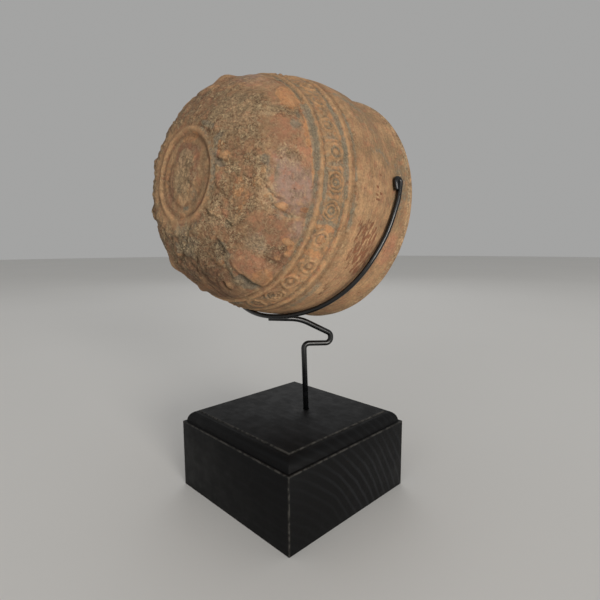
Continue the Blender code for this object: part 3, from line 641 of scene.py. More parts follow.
CRUST_SPOTS = (
    (6.5, 42, 2.6, 2.4, 0.75), (25, 55, 2.4, 2.4, 0.8), (30, 57.4, 2, 1.2, 0.7),
    (-39, 47.5, 3.2, 5.5, 0.4), (-36.4, 33.5, 1.7, 1.4, 1), (-53.5, 36, 2.6, 3, 0.9, 20),
    (-63, 55.5, 3.4, 6, 1.1), (-57, 39.5, 4.2, 3, 0.6, 30), (-88, 30, 6.5, 3.8, 0.85, 20),
    (-78, 27, 6, 3, 0.7, 20), (-66, 22.5, 5, 1.8, 0.5, 10), (8, 114, 15, 3.4, 0.5),
    (-65, 68, 3.4, 1.6, 0.7, 20), (-88, 66, 5, 2, 0.8), (0, 46.5, 4.5, 1, 0.55, 10),
    (-20.5, 50, 0.9, 2.6, 0.6), (52, 24, 5, 1.2, 0.9, -15), (7.2, 24.6, 1.5, 2.6, 0.95, 25),
    (31, 25.5, 1.6, 3, 0.8, -20), (100, 56, 2, 5, 0.8), (130, 45, 3, 5, 0.8),
    (-135, 38, 4, 4, 0.8), (72, 60, 1.6, 3, 0.8),
)
CRUST_LINES = (
    (((-66.5, 51), (-63.5, 46.5), (-59.5, 42), (-55.5, 39.4)), 1.3, 0.7),
    (((-30, 61.8), (-15, 61.8), (5, 61.8)), 1.2, 0.8),
    (((5, 61.8), (20, 61.6), (36, 61.9)), 1.8, 1.15),
    (((36, 61.9), (60, 61.8)), 1.0, 0.7),
    (((-46, 61.8), (-30, 61.8)), 0.9, 0.55),
    (((-13, 66), (-2, 65.8), (5, 66)), 1.1, 1.05),
    (((-5, 75.4), (8, 75.4), (20, 75.6)), 1.3, 1.05),
    (((20, 75.6), (30, 75.2), (38, 74.6)), 1.4, 0.95),
    (((-18, 66.2), (-16.8, 70.5), (-18, 74.6)), 1.0, 1.0),
    (((7.6, 73.5), (8.0, 70), (7.4, 67)), 0.9, 0.85),
    (((19.6, 74), (20.0, 70.5), (19.4, 67)), 0.9, 0.75),
    (((4.6, 74), (5.2, 70), (4.4, 67)), 0.6, 0.7),
    (((-18, 81), (-4, 80.9)), 1.0, 0.7),
    (((3, 80.8), (20, 80.9), (34, 80.7)), 0.8, 0.9),
    (((-66, 82.4), (-46, 82.2)), 1.3, 0.8),
    (((-4, 43), (2, 43.6), (6, 43.4)), 0.9, 0.7),
    (((-15.4, 46.4), (-9, 44.4), (-4.5, 42.4)), 0.7, 0.6),
    (((-19, 56), (-18.4, 51), (-16.4, 46.6)), 0.7, 0.6),
    (((-28, 66.4), (-22, 66)), 0.8, 0.7),
    (((60, 75.4), (100, 75.4)), 0.9, 0.8),
    (((60, 61.8), (150, 61.8)), 1.1, 0.8),
    (((-178, 61.8), (-100, 61.8)), 1.0, 0.7),
    (((130, 75.6), (178, 75.4)), 1.0, 0.8),
    (((100, 80.9), (178, 80.9)), 0.7, 0.7),
    (((-25, 20.8), (20, 21.0), (60, 21.2)), 0.7, 0.7),
    (((16, 107), (18.5, 102), (19.5, 97), (18, 92)), 1.5, 0.75),
    (((27, 100), (31, 94), (34, 88)), 1.3, 0.6),
    (((41, 94), (44, 89), (47, 84)), 2.2, 0.8),
    (((-2, 118.5), (12, 118), (26, 118.4)), 0.9, 0.7),
)
CHALK_SPOTS = (
    (15.4, 39.2, 1.2, 0.8, 1, 30), (12.2, 48.4, 0.6, 1.8, 1, -15),
    (8.5, 55.6, 2.2, 0.5, 0.7, 20), (5.8, 52, 0.5, 1.4, 0.7), (-10.4, 43.6, 3.4, 0.9, 1, -50),
    (-14, 46.6, 1.6, 0.5, 0.8, 20), (-3, 42.2, 1.5, 0.8, 0.9), (-18, 56, 0.5, 2.6, 0.7, -5),
    (-31.2, 35.6, 1.4, 0.9, 0.9), (34.5, 48, 2.4, 4.5, 0.7), (9.5, 51, 4.8, 5, 0.55),
    (-39, 47.5, 4, 6.5, 0.75, 10), (-86, 30.5, 8, 3.4, 0.5, 15),
    (-66.5, 51, 1.3, 3.2, 0.9, -25), (-61.5, 44.5, 1.2, 3.4, 1, -30), (-57, 40.8, 2, 1.2, 1),
    (-33, 34.5, 3, 2.2, 0.8), (-42, 27, 3, 3.4, 0.7), (-12, 43.5, 7, 4.5, 0.6, -20),
    (45, 36, 12, 8, 0.6), (-11, 30.2, 1.8, 0.7, 0.7, 10), (-9, 26, 1.6, 0.5, 0.7, 20),
    (48, 23.6, 3.4, 0.6, 0.8, -20), (16, 43, 2.5, 1.8, 0.4), (-5, 9, 2.8, 2, 0.5),
    (80, 4, 3, 2, 0.5), (-70, 66, 2.4, 0.8, 0.6, 20), (150, 36, 3, 2, 0.7),
)
SCRATCHES = (
    (-24, 94, 13.5, 9.5, 0.95), (-31, 97, 8, 7.5, 0.95), (-16, 89, 5, 4, 0.85),
    (-50, 87.5, 8, 2.6, 0.7), (-14, 101, 1.6, 5, 0.5), (6, 96, 7, 8, 0.25),
    (-40, 92, 5, 3, 0.5), (-2.6, 95, 0.5, 1.5, 2), (0.3, 96.2, 0.4, 1.3, 2),
    (2.6, 93.6, 0.5, 0.9, 2), (-0.6, 93.4, 0.4, 0.8, 2), (8, 96, 0.4, 1.2, 1.8),
    (-60, 77, 6, 3, 0.3), (140, 103, 10, 7, 0.6),
)

# Where the clay is made paler or darker: angle, along, half across, half long, how much
TONE_SHIFTS = (
    (-84, 46, 30, 20, -0.34), (-58, 34, 10, 7, -0.12), (-14, 58, 7, 4.5, -0.12),
    (-32, 32, 7, 5, 0.1), (54, 52, 10, 10, 0.22), (-42, 79, 32, 20, 0.2),
    (-62, 92, 20, 12, 0.12), (-24, 96, 15, 10, 0.2), (-64, 74, 9, 7, 0.14),
    (-72, 90, 11, 7, 0.12), (14, 74, 9, 4, -0.1), (-62, 57, 6, 6, -0.2),
    (-90, 58, 14, 6, -0.22), (0, 42, 5, 4, 0.16), (0, 26, 6, 5, 0.2), (-36, 27, 9, 6, 0.12),
    (-48, 114, 26, 7, 0.2), (15, 88, 12, 9, -0.18), (8, 114, 24, 6, -0.16),
)

# The same on the flat underside: right, up, half across, half high, strength
DISC_BROWN = (
    (2.6, 8.2, 8.2, 4.8, 1.3), (8.4, 1.5, 2.8, 5, 1.2), (-8.2, -4, 2.8, 7.5, 0.7),
    (2, -18.4, 4.5, 1.3, 1),
)
DISC_CRUST = (
    (3.7, -12.8, 2.2, 1.1, 0.9), (8.5, -7.5, 2.4, 4.5, 0.4), (21.4, 4, 1.3, 11, 0.7),
    (2, -22.5, 5, 3, 0.55),
)
DISC_CHALK = (
    (0.8, -1, 5.4, 6.4, 1.35), (2, 7, 6, 4, 0.9), (1.5, -9, 3.4, 3, 0.9),
    (-1.4, -22.5, 1, 4.5, 1), (5, -22, 1.1, 4.5, 1),
)
DISC_ORANGE = (
    (0.8, -9.3, 4, 2.6, 0.8), (1.9, -16, 2.4, 1.6, 0.9), (3.6, 15.2, 6.5, 2, 0.7),
    (-12, 2, 3, 6, 0.5),
)


def patches(reaches, wander, soften):
    """A mask of patches: each one's distance from its middle, one at its edge, and strength."""
    mask = np.zeros(wander.shape)
    for reach, strength in reaches:
        mask = np.maximum(mask, strength * smooth((1 - (reach + wander)) / soften + 0.5))
    return mask


def painted(wall, spots, soften=0.45):
    """A mask of oval patches, wandering a little at their edges."""
    wander = 0.28 * rough(wall.points, 4.0, 81)
    reaches = (
        (wall.spot(angle, along, across, length, *turn), strength)
        for angle, along, across, length, strength, *turn in spots
    )
    return patches(reaches, wander, soften)


def painted_lines(wall, lines):
    wander = 0.3 * rough(wall.points, 3.0, 85)
    fade = 0.75 + 0.45 * rough(wall.points, 7.0, 88)
    reaches = ((wall.from_line(places) / half, strength) for places, half, strength in lines)
    return patches(reaches, wander, 0.7) * np.clip(fade, 0, 1.1)


def painted_disc(wall, spots):
    wander = 0.3 * rough(wall.points, 3.0, 97)
    reaches = ((wall.disc_spot(*place), strength) for *place, strength in spots)
    return patches(reaches, wander, 0.6) * (wall.along < 28)


def tone_shift_of(wall):
    """A half where the clay has its usual tone, more where it is paler."""
    tone = np.full(wall.along.shape, 0.5)
    for *place, amount in TONE_SHIFTS:
        tone += amount * smooth(1.3 * (1 - wall.spot(*place)))
    return tone


# What the masks are on the lip and inside, where they aren't nothing
PLAIN_CLAY = {"hollow": 0.5, "tone_shift": 0.5, "crumbly": 0.2, "rim": 1.0}
INSIDE_OLIVE = 0.55


def finish_masks(wall, form):
    """Every mask that the clay's finish reads, by name."""
    near = blurred(form, 3, 4) - form
    wide = blurred(form, 9, 12) - form
    most = np.maximum.reduce
    in_band = wall.zone(65, 1.5, 77, 1.5) * (1 - 0.6 * wall.sector(-52.0, 36, 1.8))
    crust = (
        painted(wall, CRUST_SPOTS, 1.1),
        painted_lines(wall, CRUST_LINES),
        in_band * np.clip(0.26 + 1.6 * near, 0, 0.75),
        painted_disc(wall, DISC_CRUST),
    )
    bare = wall.zone(62.6, 1.0, 80.5, 1.5)
    brown = (
        painted(wall, BROWN, 0.9),
        painted_disc(wall, DISC_BROWN),
        0.6 * bump(wall.about_ring()[0] - 16.6, 1.0),
        0.5 * wall.zone(22, 3, 61.5, 1.5),
    )
    # a pale line along the lip: partly wear, partly a painted highlight on its rounded edge
    lip_wear_and_highlight = 0.5 * smooth((wall.along - 116.5) / 2)
    return {
        "mauve": painted(wall, MAUVE, 1.5),
        "salmon": painted(wall, SALMON, 1.0),
        "orange": most((painted(wall, ORANGE), 0.44 * bare, painted_disc(wall, DISC_ORANGE))),
        "brown": most(brown),
        "olive": most((0.7 * painted(wall, OLIVE, 0.8), 0.26 * wall.zone(19, 4, 40, 7))),
        "crust": most(crust),
        "chalk_and_lip_highlight": most((painted(wall, CHALK_SPOTS, 0.9), painted_disc(wall, DISC_CHALK), lip_wear_and_highlight)),
        "scratched": 0.54 * painted(wall, SCRATCHES, 0.9),
        # where the relief is sunk: dirt and painted shade in its hollows, rubbed wear on its raised
        # edges
        "hollow": np.clip(0.5 + 1.3 * near + 0.3 * wide, 0, 1),
        "crumbly": np.clip(roughness_of(wall), 0, 1),
        "rim": smooth((wall.along - 82.5) / 2),
        "tone_shift": tone_shift_of(wall),
    }


# Modelling tools


def select_none():
    if bpy.context.object and bpy.context.object.mode != "OBJECT":
        bpy.ops.object.mode_set(mode="OBJECT")
    bpy.ops.object.select_all(action="DESELECT")


def only(piece):
    select_none()
    piece.select_set(True)
    bpy.context.view_layer.objects.active = piece
    return piece


def turned_piece(name, line, steps):
    """A shape turned round Z from a line of (radius, height) points, in metres."""
    select_none()
    bpy.ops.mesh.primitive_plane_add(size=MM)
    piece = bpy.context.object
    piece.name = piece.data.name = name
    bpy.ops.object.mode_set(mode="EDIT")
    bpy.ops.mesh.select_all(action="SELECT")
    bpy.ops.mesh.merge(type="CENTER")
    bpy.ops.transform.translate(value=(line[0][0], 0.0, line[0][1]))
    for (radius, height), (next_radius, next_height) in zip(line, line[1:]):
        step = (next_radius - radius, 0.0, next_height - height)
        bpy.ops.mesh.extrude_vertices_move(TRANSFORM_OT_translate={"value": step})
    bpy.ops.mesh.select_all(action="SELECT")
    bpy.ops.mesh.spin(steps=steps, angle=2 * math.pi, center=(0, 0, 0), axis=(0, 0, 1))
    bpy.ops.mesh.select_all(action="SELECT")
    bpy.ops.mesh.remove_doubles(threshold=MERGE_DISTANCE)
    bpy.ops.mesh.normals_make_consistent(inside=False)
    bpy.ops.object.mode_set(mode="OBJECT")
    return piece


def bowl_frame():
    """The bowl's axis, from its mouth to its underside, and its up direction."""
    axis = Vector((math.sin(BOWL_TURN), -math.cos(BOWL_TURN), 0.0)) * math.cos(BOWL_TILT)
    axis.z = math.sin(BOWL_TILT)
    side = Vector((math.cos(BOWL_TURN), math.sin(BOWL_TURN), 0.0))
    turn = Matrix((side, axis.cross(side), axis)).transposed().to_4x4()
    return Matrix.Translation(RIM_CENTRE) @ turn


def make_bowl():
    wall = Outside()
    outside = np.stack(on_line(wall.rows), -1)
    lip, hollow = lip_line(), hollow_line()
    line = np.concatenate((outside, lip, hollow))
    piece = turned_piece("relief_bowl", [tuple(point * MM) for point in line], COLUMNS)
    mesh = piece.data
    count = len(mesh.vertices)
    turned = np.empty(count * 3)
    mesh.vertices.foreach_get("co", turned)
    turned = turned.reshape(-1, 3) / MM
    reach = np.hypot(turned[:, 0], turned[:, 1])
    row = np.empty(count, int)
    at_once = 20000
    for start in range(0, count, at_once):
        part = slice(start, start + at_once)
        off = np.abs(reach[part, None] - line[:, 0]) + np.abs(turned[part, 2:] - line[:, 1])
        row[part] = off.argmin(axis=1)
    even = np.arctan2(turned[:, 1], turned[:, 0])
    column = np.round(even / (2 * math.pi) * COLUMNS).astype(int) % COLUMNS
    angle = wall.columns[column]

    form = relief(wall)
    form[0] = form[1].mean()
    surface = wall.lifted(form)
    made = turned.copy()
    out = row < len(wall.rows)
    made[out] = surface[row[out], column[out]]
    rest = ~out
    made[rest, 0] = reach[rest] * np.cos(angle[rest])
    made[rest, 1] = reach[rest] * np.sin(angle[rest])
    inner = row >= len(wall.rows) + len(lip)
    marks = np.stack((made[:, 2] * 3, made[:, 0] * 0.2, made[:, 1] * 0.2), -1)
    swell = 0.22 * lumps(marks, 9.0, 91) + 0.35 * lumps(made, 24.0, 92)
    fade = np.clip((reach - 1.0) / 4, 0, 1) * inner
    made[:, 0] += np.cos(angle) * swell * fade
    made[:, 1] += np.sin(angle) * swell * fade
    edge = rest & ~inner
    made[edge, 2] += 0.25 * lumps(made[edge], 7.0, 95)
    mesh.vertices.foreach_set("co", (made * MM).ravel())

    for name, grid in finish_masks(wall, form).items():
        values = np.full(count, PLAIN_CLAY.get(name, 0.0))
        values[out] = grid[row[out], column[out]]
        if name == "olive":
            values[inner] = INSIDE_OLIVE
        mask = mesh.attributes.new(name, "FLOAT", "POINT")
        mask.data.foreach_set("value", values)
    place = (np.minimum(row, len(wall.rows) - 1), column)
    across, up = wall.radius[place] * angle, wall.along[place]
    flat = np.stack((np.where(out, across, 0.0), np.where(out, up, 0.0), np.zeros(count)), -1)
    unrolled = mesh.attributes.new("unrolled", "FLOAT_VECTOR", "POINT")
    unrolled.data.foreach_set("vector", (flat * MM).ravel())

    mesh.transform(bowl_frame())
    only(piece)
    bpy.ops.object.shade_smooth()
    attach(piece, "root")
    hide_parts("bowl")
    return piece


def on_outside(angle, along, lift):
    """A point off the plain outside, in the bowl's own frame, in millimetres."""
    radius, from_rim = off_outside(along, lift)
    return Vector((radius * math.cos(angle), radius * math.sin(angle), from_rim))


def cradle_from_rim(angle):
    """The wire's distance from the rim, by its angle round the bowl."""
    below, share = zip(*CRADLE_DROP)
    drop = float(np.interp(-math.degrees(angle), below, share))
    return CRADLE_ARM_FROM_RIM + (CRADLE_BOTTOM_FROM_RIM - CRADLE_ARM_FROM_RIM) * drop


def cradle_point(angle, from_rim):
    """A point of the wire's middle line, which stands off the bowl between arms and bottom."""
    lift = TOUCH_GAP + CRADLE_DIAMETER / 2
    lift += CRADLE_STAND_OFF * math.sin(2 * min(angle, 0.0)) ** 2
    along = float(np.interp(-from_rim, -ALONG_FROM_RIM, ALONG))
    return on_outside(angle, along, lift)


def cradle_points():
    """From one arm's crook, round under the bowl, to the other's, in the bowl's frame."""
    turn = (CRADLE_DIAMETER + HOOK_GAP) / 2
    tip = math.radians(CRADLE_TIP_ANGLE)
    arm = cradle_from_rim(tip)
    side = outside_radius(arm) + CRADLE_DIAMETER / 2
    leg_steps, curl_steps, arm_step = 6, 14, math.radians(2.5)
    near = []
    for i in range(leg_steps):
        share = 1 - i / leg_steps
        curl = HOOK_CURL * float(smooth(share))
        near.append(cradle_point(tip - HOOK_LEG * share / side, arm + 2 * turn - curl))
    for i in range(curl_steps + 1):
        around = math.pi * i / curl_steps
        angle = tip + turn * math.sin(around) / side
        near.append(cradle_point(angle, arm + turn * (1 + math.cos(around))))
    steps = round((tip + math.pi / 2) / arm_step)
    for i in range(1, steps + 1):
        angle = tip - (tip + math.pi / 2) * i / steps
        near.append(cradle_point(angle, cradle_from_rim(angle)))
    far = [Vector((-point.x, point.y, point.z)) for point in reversed(near[:-1])]
    return near + far


def rounded(corners, radii, steps):
    """A flat path through corners, each but the first and last rounded to its radius."""
    path = [corners[0]]
    for i, radius in enumerate(radii, start=1):
        corner = Vector(corners[i])
        back = (Vector(corners[i - 1]) - corner).normalized()
        on = (Vector(corners[i + 1]) - corner).normalized()
        half = back.angle(on) / 2
        centre = corner + (back + on).normalized() * (radius / math.sin(half))
        start = corner + back * (radius / math.tan(half)) - centre
        end = corner + on * (radius / math.tan(half)) - centre
        turn = math.atan2(start.x * end.y - start.y * end.x, start.dot(end))
        for j in range(steps + 1):
            spun = Matrix.Rotation(turn * j / steps, 2) @ start
            path.append(tuple(centre + spun))
    path.append(corners[-1])
    return path


def post_points():
    """From the foot of the socket up through the S-bend to beside the cradle's bottom."""
    block = BLOCK_HEIGHT / MM
    level = block + CRADLE_ABOVE_BLOCK
    low = level - LOWER_ARM_BELOW_CRADLE
    lowest = low - LOWER_ARM_REACH * math.sin(LOWER_ARM_SLOPE)
    lean = math.tan(POST_LEAN)
    buried = SOCKET_DEPTH - TOUCH_GAP
    between_wires = POST_PLANE_TURN - BOWL_TURN
    ends = CRADLE_DIAMETER / 2 + TOUCH_GAP + POST_DIAMETER / 2 * math.cos(between_wires)
    end = UPPER_ARM_REACH - ends / math.sin(between_wires)
    bend = POST_DIAMETER / 2 + POST_BEND_INSIDE
    corners = [
        (buried * lean, block - buried),
        ((block - low) * lean, low),
        (LOWER_ARM_REACH, lowest),
        (LOWER_ARM_REACH, lowest + POST_DIAMETER + LOOP_OPENING),
        (-UPPER_ARM_BEND_FROM_POST, level - UPPER_ARM_BEND_BELOW_CRADLE),
        (-end, level - UPPER_ARM_END_BELOW_CRADLE),
    ]
    reach = Vector((math.cos(POST_PLANE_TURN), math.sin(POST_PLANE_TURN), 0.0))
    foot = Vector((POST_FOOT[0] / MM, POST_FOOT[1] / MM, 0.0))
    path = rounded(corners, (bend, bend, bend, UPPER_ARM_BEND_RADIUS), 12)
    return [foot + reach * out + Vector((0.0, 0.0, up)) for out, up in path]


def bent_wire(name, node, points, diameter, place=Matrix()):
    """A round wire bent along points, with its two cut ends rounded over."""
    select_none()
    bpy.ops.curve.primitive_nurbs_path_add()
    piece = bpy.context.object
    piece.name = name
    piece.data.splines.clear()
    spline = piece.data.splines.new("POLY")
    spline.points.add(len(points) - 1)
    for point, spot in zip(spline.points, points):
        point.co = (*(place @ (spot * MM)), 1.0)
    piece.data.bevel_depth = diameter * MM / 2
    piece.data.bevel_resolution = 6
    piece.data.use_fill_caps = True
    only(piece)
    bpy.ops.object.convert(target="MESH")
    piece.data.name = name
    bpy.ops.object.mode_set(mode="EDIT")
    bpy.ops.mesh.select_all(action="SELECT")
    bpy.ops.mesh.remove_doubles(threshold=MERGE_DISTANCE)
    bpy.ops.mesh.normals_make_consistent(inside=False)
    bpy.ops.mesh.select_all(action="DESELECT")
    bpy.ops.object.mode_set(mode="OBJECT")
    for face in piece.data.polygons:
        face.select = len(face.vertices) > 4
    bpy.ops.object.mode_set(mode="EDIT")
    bpy.ops.mesh.bevel(offset=diameter * MM * 0.3, segments=4, affect="EDGES")
    bpy.ops.object.mode_set(mode="OBJECT")
    bpy.ops.object.shade_smooth()
    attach(piece, "root")
    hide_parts(node)
    return piece


def pick_faces(piece, wanted):
    """Select, in edit mode, the faces whose middle and normal pass a test."""
    bpy.ops.object.mode_set(mode="OBJECT")
    for face in piece.data.polygons:
        face.select = wanted(face.center, face.normal)
    for edge in piece.data.edges:
        edge.select = False
    for vert in piece.data.vertices:
        vert.select = False
    for face in piece.data.polygons:
        if face.select:
            for index in face.vertices:
                piece.data.vertices[index].select = True
    bpy.ops.object.mode_set(mode="EDIT")


def make_block():
    """The square block: a ledge, a quarter round and a small step round its top, edges worn."""
    select_none()
    shoulder = BLOCK_HEIGHT - MOULDING_DROP
    bulk = (BLOCK_SIDE, BLOCK_SIDE, shoulder)
    bpy.ops.mesh.primitive_cube_add(size=1.0, location=(0, 0, shoulder / 2), scale=bulk)
    piece = bpy.context.object
    piece.name = piece.data.name = "stained_block"
    bpy.ops.object.transform_apply(location=True, rotation=True, scale=True)
    line = [(0.0, shoulder)]
    width, rise = MOULDING_WIDTH - LEDGE_WIDTH, MOULDING_DROP - TOP_STEP
    round_steps = 8
    for i in range(round_steps + 1):
        turn = math.pi / 2 * i / round_steps
        line.append((MOULDING_WIDTH - width * math.cos(turn), shoulder + rise * math.sin(turn)))
    line.append((MOULDING_WIDTH, BLOCK_HEIGHT))
    bpy.ops.object.mode_set(mode="EDIT")
    pick_faces(piece, lambda middle, normal: normal.z > 0.5)
    for (inset, height), (next_inset, next_height) in zip(line, line[1:]):
        move = (0.0, 0.0, next_height - height)
        bpy.ops.mesh.extrude_region_move(TRANSFORM_OT_translate={"value": move})
        share = (BLOCK_SIDE / 2 - next_inset) / (BLOCK_SIDE / 2 - inset)
        bpy.ops.transform.resize(value=(share, share, 1.0), center_override=(0, 0, next_height))
    bpy.ops.object.mode_set(mode="OBJECT")
    soften = piece.modifiers.new("worn edges", "BEVEL")
    soften.width = WORN_EDGE
    soften.segments = 2
    soften.limit_method = "ANGLE"
    soften.angle_limit = math.radians(40)
    only(piece)
    bpy.ops.object.modifier_apply(modifier=soften.name)

    select_none()
    foot = (POST_FOOT[0], POST_FOOT[1], BLOCK_HEIGHT)
    reach = Vector((math.cos(POST_PLANE_TURN), math.sin(POST_PLANE_TURN), 0.0))
    lean = Matrix.Rotation(POST_LEAN, 4, reach.cross(Vector((0.0, 0.0, 1.0)))).to_euler()
    radius = (POST_DIAMETER / 2 + TOUCH_GAP) * MM
    bpy.ops.mesh.primitive_cylinder_add(
        vertices=32, radius=radius, depth=2 * SOCKET_DEPTH * MM, location=foot, rotation=lean
    )
    drill = bpy.context.object
    socket = piece.modifiers.new("socket", "BOOLEAN")
    socket.operation = "DIFFERENCE"
    socket.solver = "EXACT"
    socket.object = drill
    only(piece)
    bpy.ops.object.modifier_apply(modifier=socket.name)
    bpy.data.objects.remove(drill, do_unlink=True)
    bpy.ops.object.shade_smooth_by_angle(angle=math.radians(35))
    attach(piece, "root")
    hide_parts("base_block")
    return piece


# Finishes


def fill(tree, inputs, values):
    """Sets inputs to values, or joins them to outputs."""
    for name, value in values.items():
        if isinstance(value, bpy.types.NodeSocket):
            tree.links.new(value, inputs[name])
        else:
            inputs[name].default_value = value


def add_node(tree, kind, inputs=None, **settings):
    """A node with its settings and its inputs."""
    node = tree.nodes.new("ShaderNode" + kind)
    for name, value in settings.items():
        setattr(node, name, value)
    fill(tree, node.inputs, inputs or {})
    return node


def maths(tree, operation, *values):
    return add_node(tree, "Math", dict(enumerate(values)), operation=operation).outputs[0]


def times(tree, first, second):
    return maths(tree, "MULTIPLY", first, second)


def plus(tree, first, second):
    return maths(tree, "ADD", first, second)


def minus(tree, first, second):
    return maths(tree, "SUBTRACT", first, second)


def larger(tree, first, second):
    return maths(tree, "MAXIMUM", first, second)


def noise(tree, vector, scale, detail=3.0, roughness=0.55, distortion=0.0):
    values = {"Vector": vector, "Scale": scale, "Detail": detail}
    values.update({"Roughness": roughness, "Distortion": distortion})
    return add_node(tree, "TexNoise", values).outputs["Fac"]


def between(tree, value, low, high, start=0.0, end=1.0):
    """A value spread from low to high onto start to end, eased."""
    values = {"Value": value, "From Min": low, "From Max": high, "To Min": start, "To Max": end}
    node = add_node(tree, "MapRange", values, interpolation_type="SMOOTHSTEP")
    return node.outputs["Result"]


def blend_colour(tree, share, first, second, kind="MIX"):
    node = add_node(tree, "Mix", data_type="RGBA", blend_type=kind)
    colours = [socket for socket in node.inputs if socket.type == "RGBA"]
    fill(tree, (node.inputs[0], *colours), {0: share, 1: first, 2: second})
    return next(socket for socket in node.outputs if socket.type == "RGBA")


def tinted(tree, under, mask, strength, over):
    """A colour laid over another where a mask is, at a strength."""
    return blend_colour(tree, times(tree, mask, strength), under, over)


def mapped(tree, vector, kind, value):
    """A vector moved or scaled."""
    return add_node(tree, "Mapping", {"Vector": vector, kind: value}).outputs[0]


def drawn_out(tree, vector, slant, stretch):
    """A vector slanted by some degrees and stretched, for streaks."""
    turn = (0.0, 0.0, math.radians(slant))
    values = {"Vector": vector, "Rotation": turn, "Scale": (stretch, 1.0, 1.0)}
    return add_node(tree, "Mapping", values, vector_type="TEXTURE").outputs[0]


def length_of(tree, vector):
    return add_node(tree, "VectorMath", {0: vector}, operation="LENGTH").outputs["Value"]


def colour(red, green, blue):
    """A colour given as it looks, in steps of 255, as the linear values that a shader takes."""
    linear = []
    for value in (red, green, blue):
        share = value / 255
        linear.append(share / 12.92 if share <= 0.04045 else ((share + 0.055) / 1.055) ** 2.4)
    return (*linear, 1.0)


def group_with(name, ins, outs):
    """A group with a vector for each input that has no value, and numbers for the rest."""
    tree = bpy.data.node_groups.new(name, "ShaderNodeTree")
    for label, value in ins.items():
        kind = "NodeSocketVector" if value is None else "NodeSocketFloat"
        socket = tree.interface.new_socket(name=label, in_out="INPUT", socket_type=kind)
        if value is not None:
            socket.default_value = value
    for label in outs:
        tree.interface.new_socket(name=label, in_out="OUTPUT", socket_type="NodeSocketFloat")
    entry = tree.nodes.new("NodeGroupInput").outputs
    leave = tree.nodes.new("NodeGroupOutput").inputs
    return tree, entry, leave


def use_group(tree, group, inputs):
    return add_node(tree, "Group", inputs, node_tree=group).outputs


def ragged_group():
    """Turns a soft mask into a patch with a worn, flaking edge."""
    ins = {"Mask": 0.0, "Place": None, "Flake size": 500.0, "Raggedness": 0.8, "Edge": 0.12}
    tree, entry, leave = group_with("flaking edge", ins, ("Patch",))
    flakes = noise(tree, entry["Place"], entry["Flake size"], 4.0, 0.65)
    off = minus(tree, flakes, 0.5)
    moved = maths(tree, "MULTIPLY_ADD", off, entry["Raggedness"], entry["Mask"])
    low, high = minus(tree, 0.5, entry["Edge"]), plus(tree, 0.5, entry["Edge"])
    fill(tree, leave, {"Patch": between(tree, moved, low, high)})
    return tree


def grit_group():
    """Fine clay: mottling, grit and small pits, as values and as one height."""
    ins = {"Place": None, "Grit size": 1600.0, "Crumbly": 0.3}
    outs = ("Mottle", "Grit", "Pits", "Height")
    tree, entry, leave = group_with("fired clay grit", ins, outs)
    place = entry["Place"]
    mottle = noise(tree, place, 160.0, 5.0, 0.6, 0.3)
    grit = noise(tree, place, entry["Grit size"], 4.0, 0.7)
    holes = add_node(tree, "TexVoronoi", {"Vector": place, "Scale": 520.0, "Randomness": 1.0})
    deep = between(tree, holes.outputs["Distance"], 0.0, 0.22, 1.0, 0.0)
    pits = times(tree, deep, between(tree, noise(tree, place, 330.0, 2.0), 0.52, 0.66))
    amount = maths(tree, "MULTIPLY_ADD", entry["Crumbly"], 1.2, 0.2)
    height = minus(tree, times(tree, grit, amount), times(tree, pits, 0.8))
    fill(tree, leave, {"Mottle": mottle, "Grit": grit, "Pits": pits, "Height": height})
    return tree


def new_material(name):
    material = bpy.data.materials.new(name)
    material.use_nodes = True
    tree = material.node_tree
    shader = tree.nodes["Principled BSDF"]
    place = add_node(tree, "TexCoord").outputs["Object"]
    return material, tree, shader, place


def attribute(tree, name, output="Fac"):
    return add_node(tree, "Attribute", attribute_name=name).outputs[output]


def flaking(tree, ragged, name, place, size, raggedness, edge):
    """A patch with a flaking edge, from the mask of that name."""
    values = {"Mask": attribute(tree, name), "Place": place, "Flake size": size}
    values.update({"Raggedness": raggedness, "Edge": edge})
    return use_group(tree, ragged, values)["Patch"]


def dress(tree, shader, tone, roughness, height, distance, strength):
    """Joins a colour, a roughness and a raised surface to a shader."""
    values = {"Height": height, "Distance": distance, "Strength": strength}
    raised = add_node(tree, "Bump", values).outputs[0]
    fill(tree, shader.inputs, {"Base Color": tone, "Roughness": roughness, "Normal": raised})


CLAY_LIGHT = colour(175, 138, 101)
CLAY_DARK = colour(148, 115, 84)
TINTS = (
    ("brown", (138, 99, 76), 600.0, 1.4, 0.35, 0.85),
    ("olive", (132, 108, 80), 520.0, 1.4, 0.4, 0.8),
    ("mauve", (158, 130, 117), 420.0, 1.3, 0.5, 0.85),
    ("salmon", (170, 120, 92), 700.0, 1.1, 0.35, 0.85),
    ("orange", (190, 136, 92), 620.0, 1.0, 0.07, 0.72),
)


def crust_curls_painted_light_group():
    """Thin curling lines of broken crust, raised as a bump: a painted highlight line beside a
    painted shadow line.
    """
    ins = {"Place": None, "Curl size": 450.0, "Amount": 1.0}
    tree, entry, leave = group_with("curling crust lines", ins, ("Pale", "Dark", "Height"))
    curl = noise(tree, entry["Place"], entry["Curl size"], 2.5, 0.55, 1.6)
    chance = noise(tree, entry["Place"], 230.0, 3.0, 0.6)
    amount = times(tree, between(tree, chance, 0.43, 0.58, 0.12, 1.0), entry["Amount"])
    lines = []
    for middle in (0.49, 0.58):
        off = maths(tree, "ABSOLUTE", minus(tree, curl, middle))
        lines.append(times(tree, between(tree, off, 0.02, 0.065, 1.0, 0.0), amount))
    height = minus(tree, lines[0], lines[1])
    fill(tree, leave, {"Pale": lines[0], "Dark": lines[1], "Height": height})
    return tree


